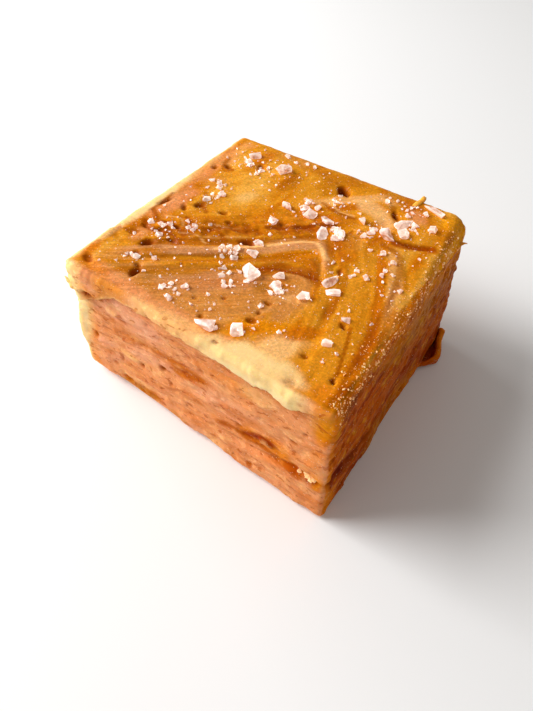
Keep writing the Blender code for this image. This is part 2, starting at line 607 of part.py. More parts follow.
def main():
    for old in list(bpy.data.objects):
        bpy.data.objects.remove(old)
    block, middle = make_block()
    toppings = bpy.data.collections.new("toppings")
    bpy.context.scene.collection.children.link(toppings)
    strew_salt(block, middle, toppings)
    make_curl(middle, toppings)
    for number, stations in enumerate(SHREDS):
        make_shred(f"shred_{number}", stations, middle, toppings)
    fuse(block, toppings)
    centre_on_foot(block)
    block.data.materials.clear()
    block.data.materials.append(material("fudge", (0.62, 0.27, 0.07), 0.45))
    block.data.shade_smooth()
    block.data.set_sharp_from_angle(angle=math.radians(35))


main()
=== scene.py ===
# %% [markdown]
# # A square of caramel swirl fudge with coarse salt
#
# Fudge is sugar syrup beaten with butter and milk until it sets as a paste of fine crystals. This
# square was cut by hand from a slab. Darker caramel was folded through it, the top was worked with
# a paddle in one hooked sweep, and coarse salt was strewn on while it was soft. The script loads
# the imported block first, and hides it once the fudge that takes its place is made.

# %% Load the frame
import math

import bpy
import numpy as np
from mathutils import Matrix, Vector
from mathutils.bvhtree import BVHTree


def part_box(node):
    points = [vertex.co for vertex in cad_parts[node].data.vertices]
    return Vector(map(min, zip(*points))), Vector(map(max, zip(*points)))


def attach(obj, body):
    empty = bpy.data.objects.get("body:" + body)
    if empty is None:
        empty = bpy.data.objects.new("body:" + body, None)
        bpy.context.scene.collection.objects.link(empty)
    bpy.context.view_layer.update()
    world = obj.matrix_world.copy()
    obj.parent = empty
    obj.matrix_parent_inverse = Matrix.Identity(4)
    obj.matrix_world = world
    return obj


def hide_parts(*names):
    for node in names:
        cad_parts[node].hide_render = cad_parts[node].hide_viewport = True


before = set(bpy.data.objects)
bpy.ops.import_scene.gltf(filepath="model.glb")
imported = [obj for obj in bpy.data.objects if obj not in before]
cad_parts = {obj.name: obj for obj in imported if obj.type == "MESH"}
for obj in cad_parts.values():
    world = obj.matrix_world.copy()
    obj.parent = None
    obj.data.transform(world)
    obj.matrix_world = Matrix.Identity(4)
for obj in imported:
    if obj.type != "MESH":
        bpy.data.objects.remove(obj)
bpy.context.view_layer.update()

MM = 0.001
cad_low, cad_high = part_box("fudge")
print("block measures", [round(side / MM, 1) for side in cad_high - cad_low], "mm")

# %% [markdown]
# ## The block's plan
#
# A hand-cut piece isn't square, so each of its eight corners has its own place, and each its own
# edge radius. Everything else is worked out from these. All sizes are in millimetres, and become
# metres when a mesh is made.

# %% Sizes of the block
HEIGHT = 28.9
SIDES = np.array([52.5, 50.5, HEIGHT])
FOOT_CORNERS = {
    "front_left": (-28.5, -24.5),
    "front_right": (27.9, -25.7),
    "back_left": (-26.6, 24.8),
    "back_right": (26.3, 24.4),
}
TOP_CORNERS = {
    "front_left": (-25.2, -24.4),
    "front_right": (26.6, -25.6),
    "back_left": (-25.7, 24.6),
    "back_right": (24.6, 28.0),
}
FOOT_ROUNDING = {"front_left": 3.6, "front_right": 0.7, "back_left": 2.4, "back_right": 1.8}
TOP_ROUNDING = {"front_left": 1.2, "front_right": 0.9, "back_left": 1.5, "back_right": 3.6}
BACK_FALLOFF = 3    # the roundings of the back corners end soon, so that the side edges are crisp
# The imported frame's origin lies under the middle of its box.
FRAME_SHIFT = (-0.58, -0.33, 0.0)
print("height", HEIGHT, "mm")

# %% [markdown]
# ## Small tools
#
# Four helpers carry most of the shaping. `smoothstep` makes a soft step and `window` a soft step up
# and down again. `smooth_noise` is seeded lattice noise whose cells can be stretched along one side,
# which is what drag marks need. `beside_path` gives each point its distance along a path and across.

# %% Steps, noise and paths
def smoothstep(low, high, value):
    """0 below low, 1 above high, and a smooth step between them."""
    t = np.clip((value - low) / (high - low), 0.0, 1.0)
    return t * t * (3.0 - 2.0 * t)


def window(value, start, full, fade, end):
    """1 from full to fade, 0 before start and after end, with soft steps between them."""
    return smoothstep(start, full, value) * (1 - smoothstep(fade, end, value))


def smooth_noise(points, cell, seed):
    """Smooth noise from -1 to 1, with one new value for each cell; cell holds its three sides."""
    scaled = points / np.asarray(cell, float)
    base = np.floor(scaled).astype(np.int64)
    part = scaled - base
    part = part * part * (3.0 - 2.0 * part)
    total = np.zeros(len(points))
    for corner in np.ndindex(2, 2, 2):
        key = base + corner
        mixed = key[:, 0] * 73856093 ^ key[:, 1] * 19349663 ^ key[:, 2] * 83492791 ^ seed * 7919
        mixed = (mixed ^ (mixed >> 13)) * 1274126177
        value = ((mixed ^ (mixed >> 16)) & 0xFFFF) / 32767.5 - 1.0
        share = np.where(corner, part, 1.0 - part).prod(axis=1)
        total += value * share
    return total


def smooth_path(stations, steps=8):
    """A Catmull-Rom curve through the stations, with this many steps in each stretch."""
    knots = np.array(stations, float)
    knots = np.vstack([2 * knots[0] - knots[1], knots, 2 * knots[-1] - knots[-2]])
    found = []
    for a, b, c, d in zip(knots, knots[1:], knots[2:], knots[3:]):
        for t in np.linspace(0, 1, steps, endpoint=False):
            found.append(0.5 * (2 * b + (c - a) * t + (2 * a - 5 * b + 4 * c - d) * t**2
                                + (3 * b - a - 3 * c + d) * t**3))
    return np.array(found + [knots[-2]])


def beside_path(points, path):
    """Each point's distance along the path, and across it (positive on its left)."""
    starts, steps = path[:-1], np.diff(path, axis=0)
    lengths = np.linalg.norm(steps, axis=1)
    before = np.concatenate([[0.0], np.cumsum(lengths)[:-1]])
    best = np.full(len(points), np.inf)
    along, across = np.zeros(len(points)), np.zeros(len(points))
    for start, step, length, base in zip(starts, steps, lengths, before):
        away = points - start
        share = np.clip(away @ step / length**2, 0.0, 1.0)
        gap = np.linalg.norm(away - share[:, None] * step, axis=1)
        side = np.sign(step[0] * away[:, 1] - step[1] * away[:, 0])
        nearer = gap < best
        best = np.where(nearer, gap, best)
        along = np.where(nearer, base + share * length, along)
        across = np.where(nearer, gap * side, across)
    return along, across


def turned(points, x, y, degrees):
    """The points as seen from x, y along a direction turned by that angle."""
    c, s = math.cos(math.radians(degrees)), math.sin(math.radians(degrees))
    away = points[:, :2] - (x, y)
    return away[:, 0] * c + away[:, 1] * s, away[:, 1] * c - away[:, 0] * s


def dimple(u, v, half_u, half_v):
    """1 in the middle of an oval and 0 outside it, with a soft wall."""
    reach = np.sqrt((u / half_u) ** 2 + (v / half_v) ** 2)
    return 1.0 - smoothstep(0.35, 1.15, reach)


sample = smooth_noise(np.random.default_rng(1).uniform(-40, 40, (2000, 3)), (5, 5, 5), 1)
print("noise runs from", round(sample.min(), 2), "to", round(sample.max(), 2))

# %% [markdown]
# ## The sweep of the paddle
#
# The paddle came in from the left corner, turned near the middle and went out over the front. Its
# two nearly straight arms are joined with a smooth maximum, which gives one pair of coordinates
# for the whole top: how far along the sweep a point lies, and how far outside it. Ridges, streaks
# of colour and the finest grain are all laid out in those coordinates, so they turn together.

# %% Coordinates that follow the sweep
LEFT_ARM = [(-30, -25), (-15, -14), (-5, -6.5), (2, -0.2), (7, 4.6), (30, 27)]
RIGHT_ARM = [(2, 22), (7, 6), (10.4, -1.2), (13, -6.5), (15.2, -14), (16.5, -22), (17, -32)]
TURN_AT = 43.0         # distance along the sweep at which it turns
TURN_SOFTNESS = 7.0
INNER_STEEPNESS = 3.0  # inside the turn, the left arm's lines run on nearly to the right arm


def sweep_coordinates(flat):
    """Distance along the sweep, and across it (positive outside the hook)."""
    left, right = smooth_path(LEFT_ARM), smooth_path(RIGHT_ARM)
    along_left, across_left = beside_path(flat, left)
    along_right, across_right = beside_path(flat, right)
    turn = np.array([[7.0, 4.6]])
    along_left += TURN_AT - beside_path(turn, left)[0]
    along_right += TURN_AT - beside_path(turn, right)[0]
    across_right = np.where(across_right < 0, INNER_STEEPNESS * across_right, across_right)
    share = np.clip(0.5 + 0.5 * (across_right - across_left) / TURN_SOFTNESS, 0, 1)
    across = across_left + share * (across_right - across_left)
    across += TURN_SOFTNESS * share * (1 - share)
    return along_left + share * (along_right - along_left), across


probe_along, probe_across = sweep_coordinates(np.array([[-15.0, -14.0], [6.0, 2.0], [16.0, -20.0]]))
print("on the sweep: along", probe_along.round(1), "across", probe_across.round(1))

# %% [markdown]
# ## Rounded block on a lattice
#
# The surface of a box is a lattice of points. Each point is drawn back to a smaller box and pushed
# out again by the edge radius, which rounds the edges, and then the eight corners are blended into
# their own places. A bevelled cube would round as well, but here every point knows which way it
# faces and the lattice is even, so fine relief can be laid on all sides.

# %% Lattice, rounding and corners
def corner_table(foot, top):
    """The values at the eight corners as a (2, 2, 2, n) table: left to right, front to back, up."""
    table = [[[np.atleast_1d(np.array(level[f"{depth}_{side}"], float)) for level in (foot, top)]
              for depth in ("front", "back")] for side in ("left", "right")]
    return np.array(table)


def blend_corners(table, shares):
    """The table's value inside the block, where shares run from 0 to 1 along x, y and z."""
    total = 0.0
    for corner in np.ndindex(2, 2, 2):
        share = np.where(corner, shares, 1.0 - shares).prod(axis=1)
        total = total + share[:, None] * table[corner]
    return total


def box_lattice(counts, foot_border):
    """Points of a box's surface as shares of its sides, and the faces between them.

    The foot has lattice faces only along its border, and one large face inside it."""
    numbers, faces = {}, []

    def number(axis, level, one, two, a, b):
        """The number of one lattice point, which faces that meet there share."""
        key = [0, 0, 0]
        key[axis], key[one], key[two] = level, a, b
        return numbers.setdefault(tuple(key), len(numbers))

    for axis in range(3):
        one, two = (axis + 1) % 3, (axis + 2) % 3
        for level in (0, counts[axis]):
            for i in range(counts[one]):
                for j in range(counts[two]):
                    inner = (foot_border <= i < counts[one] - foot_border
                             and foot_border <= j < counts[two] - foot_border)
                    if axis == 2 and level == 0 and inner:
                        continue
                    ring = [(i, j), (i + 1, j), (i + 1, j + 1), (i, j + 1)]
                    ring = ring if level else ring[::-1]
                    faces.append([number(axis, level, one, two, a, b) for a, b in ring])
    near, far_x, far_y = foot_border, counts[0] - foot_border, counts[1] - foot_border
    border = [(i, near) for i in range(near, far_x)] + [(far_x, j) for j in range(near, far_y)]
    border += [(i, far_y) for i in range(far_x, near, -1)]
    border += [(near, j) for j in range(far_y, near, -1)]
    faces.append([number(2, 0, 0, 1, a, b) for a, b in border][::-1])
    return np.array(list(numbers)) / np.array(counts), faces


def rounded_block(shares):
    """The hand-cut block with rounded edges: its points and the way each one faces."""
    radius = blend_corners(corner_table(FOOT_ROUNDING, TOP_ROUNDING), shares ** (1, BACK_FALLOFF, 1))
    flat = shares * SIDES
    inner = np.clip(flat, radius, SIDES - radius)
    facing = flat - inner
    facing /= np.linalg.norm(facing, axis=1, keepdims=True)
    rounded = (inner + facing * radius) / SIDES
    places = blend_corners(corner_table(FOOT_CORNERS, TOP_CORNERS), rounded)
    return np.column_stack([places, rounded[:, 2] * HEIGHT]), facing


LATTICE_PITCH = 0.31
FOOT_BORDER = 6
counts = [round(side / LATTICE_PITCH) for side in SIDES]
shares, block_faces = box_lattice(counts, FOOT_BORDER)
print("lattice of", counts, "with", len(shares), "points and", len(block_faces), "faces")

# %% [markdown]
# ## Relief of the top
#
# Ridges and furrows lie at set distances beside the sweep. Outside the turn the skin tore as the
# paddle dragged it, so that band is rough. Pits are oval dimples where air or a lump came out.

# %% Ridges, furrows and pits of the top
# Across, half width, height, and from and to along the sweep.
FURROWS = [
    (-0.6, 0.9, 0.20, 8, 54),
    (-2.6, 0.6, -0.22, 8, 50),
    (-4.2, 0.5, 0.08, 8, 50),
    (-5.6, 0.4, -0.08, 8, 46),
    (1.5, 0.7, -0.18, 10, 68),
    (3.2, 0.6, 0.08, 30, 74),
    (8.3, 0.35, -0.08, 46, 78),
    (10.2, 0.5, 0.06, 46, 78),
    (13.0, 0.5, -0.12, 44, 80),
]
ROUGH_ACROSS, ROUGH_HALF, ROUGH_HEIGHT = 5.2, 3.0, 0.34
# x, y, half length, half width, depth, turn in degrees.
PITS = [
    (2.0, 19.4, 1.7, 1.15, 2.3, -40), (13.2, 18.4, 1.4, 0.6, 1.0, -50),
    (-3.9, -3.7, 1.5, 0.8, 0.9, 35), (-17.4, -13.8, 1.3, 1.0, 0.9, 60),
    (-13.9, -20.4, 1.5, 0.8, 0.9, 90), (-16.9, -0.4, 1.1, 0.7, 0.7, 40),
    (-20.3, 12.8, 1.0, 0.8, 0.5, 0), (19.4, -11.2, 1.0, 0.45, 0.8, -35),
    (23.4, -21.0, 0.7, 0.4, 0.9, -60), (18.9, -24.8, 1.5, 1.2, 0.2, 20),
    (7.6, -18.3, 1.1, 0.6, 0.5, 20), (7.4, -13.9, 0.9, 0.6, 0.4, 0),
    (17.8, -19.4, 0.8, 0.7, 0.35, 0), (-15.0, 16.2, 1.5, 0.8, 0.5, -50),
    (19.8, 12.8, 3.0, 0.9, 0.45, 18), (12.8, -0.9, 1.0, 0.5, 0.5, -60),
    (0.8, -22.0, 0.6, 0.5, 0.4, 0), (5.8, -24.8, 0.7, 0.5, 0.4, 0),
    (-16.9, -16.9, 0.8, 0.4, 0.4, 20), (-9.0, -14.6, 0.6, 0.4, 0.25, 35),
    (-22.3, -22.6, 1.6, 1.0, 0.5, -35), (-22.4, 11.0, 0.7, 0.9, 0.4, 0),
    (-18.6, -2.6, 0.6, 1.2, 0.5, 40), (-16.0, -7.8, 0.9, 0.5, 0.5, 30),
    (-14.4, -11.0, 1.2, 0.5, 0.6, 10), (-20.6, -10.6, 1.4, 0.5, 0.5, -10),
    (-17.8, -10.0, 0.9, 0.5, 0.5, 40), (-22.6, -3.4, 0.5, 1.6, 0.5, -15),
    (-12.0, 0.4, 1.0, 0.6, 0.5, 20), (-9.6, -1.2, 0.7, 0.5, 0.4, 60),
    (-14.6, -19.0, 0.7, 0.6, 0.6, 0), (7.6, -16.4, 0.5, 0.5, 0.4, 0),
    (1.4, -17.0, 0.5, 0.4, 0.35, 0), (-2.4, -19.6, 0.6, 0.4, 0.3, 0),
]
# The pale wedge at the front is smooth, without streaks: x, y, half length, half width, turn.
SMOOTH_WEDGE = (11.0, -23.0, 13.0, 5.0, 8)


def smooth_wedge(points):
    """1 on the pale wedge at the front, and 0 away from it."""
    x, y, half_u, half_v, turn = SMOOTH_WEDGE
    return dimple(*turned(points, x, y, turn), half_u, half_v)


def pit_depth(points):
    """How deep each point lies in a pit of the top."""
    depth = np.zeros(len(points))
    for x, y, half_u, half_v, deep, turn in PITS:
        u, v = turned(points, x, y, turn)
        ragged = 1 + 0.25 * smooth_noise(points, (0.9, 0.9, 90), 12)
        depth += deep * dimple(u * ragged, v * ragged, half_u, half_v)
    return depth


def top_relief(points, along, across):
    """Height of the worked top."""
    sweep = np.column_stack([along, across, np.zeros(len(points))])
    height = 0.34 * smooth_noise(points, (15, 15, 90), 1)
    height += 0.12 * smooth_noise(points, (4, 4, 90), 2)
    wander = 0.35 * smooth_noise(sweep, (9, 3, 1), 5)
    for middle, half, rise, start, end in FURROWS:
        ends = window(along, start - 4, start + 4, end - 4, end + 4)
        height += rise * ends * np.exp(-((across + wander - middle) / half) ** 2)
    torn = np.exp(-((across - ROUGH_ACROSS) / ROUGH_HALF) ** 2)
    torn *= 1 - 0.75 * smoothstep(TURN_AT - 8, TURN_AT + 10, along)
    lumps = smooth_noise(points, (2.1, 1.5, 90), 3) + 0.6 * smooth_noise(points, (0.9, 0.7, 90), 6)
    height += ROUGH_HEIGHT * torn * lumps
    fine = 0.06 * smooth_noise(sweep, (9, 0.9, 1), 4) + 0.02 * smooth_noise(sweep, (5, 0.45, 1), 7)
    fine += 0.05 * smooth_noise(points, (1.1, 1.1, 90), 8)
    return height + fine * (1 - 0.8 * smooth_wedge(points)) - pit_depth(points)


print(len(FURROWS), "ridges and furrows,", len(PITS), "pits")

# %% [markdown]
# ## Relief of the cut sides
#
# A knife leaves long level drag marks, tears small holes where a crumb caught, and lets the skin
# of the top hang over the edge. The seam between two pours shows as a furrow on two sides.

# %% Drag marks, seam, skin and tears
# Lower edge of the skin that hangs over the front: x, height, how far it stands out.
SKIN_EDGE = np.array([(-28, 20.8, 0.0), (-25.4, 21.0, 0.3), (-23, 21.4, 1.4), (-19.5, 23.2, 1.2),
                      (-15, 26.0, 0.7), (-8, 26.4, 0.7), (0, 26.3, 0.7), (7, 26.2, 0.9),
                      (13.5, 25.5, 1.1), (16, 26.3, 0.9), (19.5, 25.0, 1.2), (22.5, 26.6, 0.8),
                      (28, 26.8, 0.4)])
SEAM_HEIGHT, SEAM_DEPTH, SEAM_HALF_WIDTH = 9.4, 0.6, 0.6
SEAM_CORNER = 27    # from the block's middle to the upright edge that the seam runs round
SEAM_FADE = (16, 27)    # distances from that edge between which the seam fades out
STREAK_DEPTH = 0.14
# The skin is torn at the front left corner: where, how far round it, and how roughly.
RAGGED_AT, RAGGED_REACH, RAGGED_HEIGHT = (-26.4, -25.0, 25.6), (4.5, 4.5, 4.0), 0.9
# Below that skin the front left edge has a notch, and lower down it swells: height, reach, rise.
EDGE_SWELLS = [(20.4, 0.9, -0.8), (11.0, 5.5, 0.8)]
# Holes and flakes of the front cut: x, z, half length, half height, depth (a flake is negative).
TEARS = [
    (-20.9, 23.6, 1.5, 0.9, 1.9), (-21.8, 18.6, 0.9, 0.6, 0.9), (-22.6, 12.2, 0.8, 1.1, 0.6),
    (-11.5, 11.0, 0.6, 0.8, 0.6), (-14.2, 11.6, 2.6, 0.9, -0.35), (-6.4, 13.8, 0.9, 0.8, 0.6),
    (-4.4, 11.3, 0.5, 0.6, 0.35), (20.8, 16.6, 1.4, 0.35, 0.6), (-16.4, 21.6, 2.2, 0.9, -0.45),
    (-15.0, 20.4, 1.5, 0.4, 0.4), (2.6, 19.6, 0.8, 0.5, 0.4), (0.2, 21.4, 0.7, 0.4, 0.4),
    (10.2, 11.6, 1.0, 0.4, 0.45), (14.6, 21.2, 1.9, 0.9, -0.25), (2.2, 11.0, 1.6, 0.3, 0.3),
    (15.6, 11.4, 1.5, 0.7, -0.4), (13.0, 3.0, 0.9, 0.7, 0.35), (-16.6, 3.6, 1.3, 1.0, 0.45),
    (-13.0, 2.0, 1.6, 0.7, 0.4), (-9.0, 3.4, 1.4, 0.6, 0.35), (3.4, 25.6, 0.6, 0.5, 0.5),
    (-8.2, 23.7, 0.5, 0.4, 0.3), (22.8, 20.6, 0.5, 0.5, 0.35), (5.2, 20.6, 0.7, 0.4, 0.35),
    (-18.6, 6.8, 0.9, 0.5, 0.35), (-16.6, 9.4, 0.5, 0.9, 0.4), (-7.4, 18.2, 0.6, 0.4, 0.3),
]


def dragged(run, height, seed):
    """Coordinates along and across the knife's drag, which wavers and climbs a little."""
    level = np.column_stack([run, height, np.zeros(len(run))])
    waver = 1.1 * smooth_noise(level, (9, 5, 1), seed) + 0.35 * smooth_noise(level, (3, 2, 1), seed + 1)
    return np.column_stack([run, height - 0.09 * run + waver, np.zeros(len(run))])


def seam_height(u):
    """Height of the furrow between the two pours, where u runs from 0 at the shared corner."""
    return SEAM_HEIGHT - 0.05 * u + 0.8 * np.sin(u * 0.33) - 0.004 * u * u


def cut_relief(run, height, seed, chips):
    """Drag marks along a knife-cut side, with small chips of that depth torn out of it."""
    drag = dragged(run, height, seed)
    rise = 0.36 * smooth_noise(drag, (13, 9, 1), seed + 2)
    rise += STREAK_DEPTH * smooth_noise(drag, (7.5, 1.3, 1), seed + 3)
    rise += 0.5 * STREAK_DEPTH * smooth_noise(drag, (3.0, 0.8, 1), seed + 4)
    rise += 0.3 * STREAK_DEPTH * smooth_noise(drag, (1.2, 0.5, 1), seed + 5)
    chip = smooth_noise(drag, (1.9, 0.9, 1), seed + 6)
    return rise + chips * (smoothstep(0.40, 0.55, chip) - smoothstep(0.45, 0.60, -chip))


def above_skin_edge(points):
    """Height of each point above the lower edge of the skin over the front cut."""
    x = points[:, 0]
    level = np.column_stack([x, np.zeros(len(x)), np.zeros(len(x))])
    wave = 0.25 * smooth_noise(level, (1.7, 1, 1), 31) + 0.12 * smooth_noise(level, (0.6, 1, 1), 34)
    return points[:, 2] - np.interp(x, SKIN_EDGE[:, 0], SKIN_EDGE[:, 1]) - wave


def skin_cover(points):
    """1 on the skin over the front cut, 0 below it, and how far it stands out there."""
    cover = smoothstep(-0.25, 0.25, above_skin_edge(points))
    return cover, cover * np.interp(points[:, 0], SKIN_EDGE[:, 0], SKIN_EDGE[:, 2])


def seam_cover(points, side):
    """1 on the seam's line and 0 away from it, with the height above it in millimetres."""
    run = SEAM_CORNER - points[:, 0] if side == "front" else SEAM_CORNER + points[:, 1]
    above = points[:, 2] - seam_height(run)
    fade = 1 - smoothstep(*SEAM_FADE, run)
    return fade * np.exp(-(above / SEAM_HALF_WIDTH) ** 2), above


def tear_depth(points):
    """How deep each point of the front cut lies in a torn hole; flakes are negative."""
    depth = np.zeros(len(points))
    ragged = 1 + 0.3 * smooth_noise(points, (0.9, 0.9, 0.7), 32)
    for x, z, half_u, half_v, deep in TEARS:
        u, v = (points[:, 0] - x) * ragged, (points[:, 2] - z) * ragged
        depth += deep * dimple(u, v, half_u, half_v)
    return depth


def front_relief(points):
    """The front cut, with the lower pour standing a little proud below the seam."""
    seam, above = seam_cover(points, "front")
    height = cut_relief(points[:, 0], points[:, 2], 20, 0.14) - SEAM_DEPTH * seam
    height += 0.25 * smoothstep(0.6, -0.6, above)
    return height + skin_cover(points)[1] - tear_depth(points)


def right_relief(points):
    """The right cut: drag marks and the same seam, which runs round the corner."""
    seam, _ = seam_cover(points, "right")
    return cut_relief(points[:, 1], points[:, 2], 40, 0.24) - SEAM_DEPTH * seam


def corner_relief(points, facing):
    """Crumbs where the skin tore at the front left corner, and the swells of the edge below it."""
    reach = np.linalg.norm((points - RAGGED_AT) / RAGGED_REACH, axis=1)
    rough = smooth_noise(points, (1.2, 1.2, 0.9), 33) + 0.5 * smooth_noise(points, (0.6, 0.6, 0.5), 35)
    height = RAGGED_HEIGHT * (1 - smoothstep(0.3, 1.0, reach)) * rough
    edge = 2 * np.clip(-facing[:, 0], 0, 1) * np.clip(-facing[:, 1], 0, 1)
    for level, half, rise in EDGE_SWELLS:
        height += rise * edge * np.exp(-((points[:, 2] - level) / half) ** 2)
    return height


print(len(TEARS), "holes and flakes in the front cut")

# %% [markdown]
# ## The finished surface
#
# Each point moves along the way it faces by the relief of the sides it belongs to. Near an edge it
# belongs to two sides at once, so their reliefs are mixed by how far it faces each of them.

# %% Shape every point
def side_shares(facing):
    """How far each point belongs to the top, front, right, left and back."""
    return {
        "top": smoothstep(0.35, 0.85, facing[:, 2]),
        "front": smoothstep(0.35, 0.9, -facing[:, 1]),
        "right": smoothstep(0.35, 0.9, facing[:, 0]),
        "left": smoothstep(0.35, 0.9, -facing[:, 0]),
        "back": smoothstep(0.35, 0.9, facing[:, 1]),
    }


def relief(points, facing, along, across):
    """How far the surface stands out of the plain rounded block."""
    side = side_shares(facing)
    height = side["top"] * top_relief(points, along, across)
    height += side["front"] * front_relief(points)
    height += side["right"] * right_relief(points)
    height += side["left"] * cut_relief(points[:, 1], points[:, 2], 60, 0.14)
    height += side["back"] * cut_relief(points[:, 0], points[:, 2], 80, 0.14)
    height = height / np.maximum(sum(side.values()), 1.0) + corner_relief(points, facing)
    # Nothing stands out at the foot, which is flat on the board.
    return height * smoothstep(-0.2, 0.3, facing[:, 2] + 1 - smoothstep(2.0, 0.0, points[:, 2]))


plain, facing = rounded_block(shares)
along, across = sweep_coordinates(plain[:, :2])
surface = plain + facing * relief(plain, facing, along, across)[:, None]
surface[:, 2] = np.maximum(surface[:, 2], 0.0)
offset = np.array(FRAME_SHIFT)
print("surface spans", (surface.max(axis=0) - surface.min(axis=0)).round(1), "mm")

# %% [markdown]
# ## Colours of fudge
#
# Fudge is pale where it was beaten most and dark amber where caramel was folded in. A few named
# tones, given as they look on a screen, are laid over each other like glazes: broad areas first,
# then bands along the sweep, then single strokes and the dark of the pits. Each mask is warped with
# noise so that no border is a clean curve.

# %% Tones and a way to lay them on
TONES = {
    "golden": (222, 142, 42),
    "pale_gold": (238, 170, 66),
    "butter": (255, 214, 146),
    "milk": (255, 222, 162),
    "glow": (246, 138, 22),
    "bright_honey": (255, 166, 34),
    "tan": (206, 134, 64),
    "mauve": (206, 140, 88),
    "olive": (190, 108, 4),
    "amber": (200, 104, 0),
    "dark_amber": (156, 68, 0),
    "red_brown": (120, 30, 0),
    "umber": (146, 80, 22),
    "peach": (234, 152, 96),
    "pink": (240, 164, 122),
    "clay": (210, 112, 42),
    "cream": (252, 192, 120),
    "orange": (236, 134, 40),
    "honey": (226, 136, 16),
    "caramel": (180, 74, 4),
    "toffee": (196, 88, 0),
    "deep_caramel": (154, 48, 0),
    "cocoa": (192, 116, 36),
}


def linear(tone):
    """A tone's colour as Blender's shaders take it."""
    share = np.array(TONES[tone]) / 255
    return np.where(share <= 0.04045, share / 12.92, ((share + 0.055) / 1.055) ** 2.4)


def lay(colour, tone, mask):
    """Lays a glaze of the tone over the colour, as thick as the mask says."""
    mask = np.clip(mask, 0, 1)[:, None]
    colour += (linear(tone) - colour) * mask


def oval(points, x, y, half_u, half_v, turn, seed):
    """A soft patch with a ragged border."""
    u, v = turned(points, x, y, turn)
    reach = np.sqrt((u / half_u) ** 2 + (v / half_v) ** 2)
    reach += 0.35 * smooth_noise(points, (2.4, 2.4, 90), seed)
    return 1 - smoothstep(0.45, 1.2, reach)


print(len(TONES), "tones")

# %% [markdown]
# ### The top
#
# Bands follow the sweep and patches sit where they are. The amber bands are also kept as a mask of
# their own, because caramel is glossier than the sugary paste round it.

# %% Bands, patches and strokes of the top
# Tone, strength, across, half width, and from and to along the sweep.
BANDS = [
    ("tan", 0.90, -11.6, 7.4, 4, 62),
    ("umber", 0.45, -5.8, 1.9, 8, 36),
    ("umber", 0.25, -9.4, 0.9, 8, 30),
    ("amber", 0.60, 6.6, 3.4, 13, 40),
    ("olive", 0.55, 4.6, 1.6, 10, 34),
    ("dark_amber", 0.65, 1.7, 0.9, 12, 46),
    ("mauve", 0.90, -0.7, 1.2, 9, 49),
    ("olive", 0.95, -3.1, 1.0, 8, 44),
    ("golden", 0.70, 6.0, 3.4, 46, 78),
    ("amber", 0.85, 8.9, 0.8, 45, 74),
    ("cream", 0.50, 11.3, 1.3, 44, 60),
]
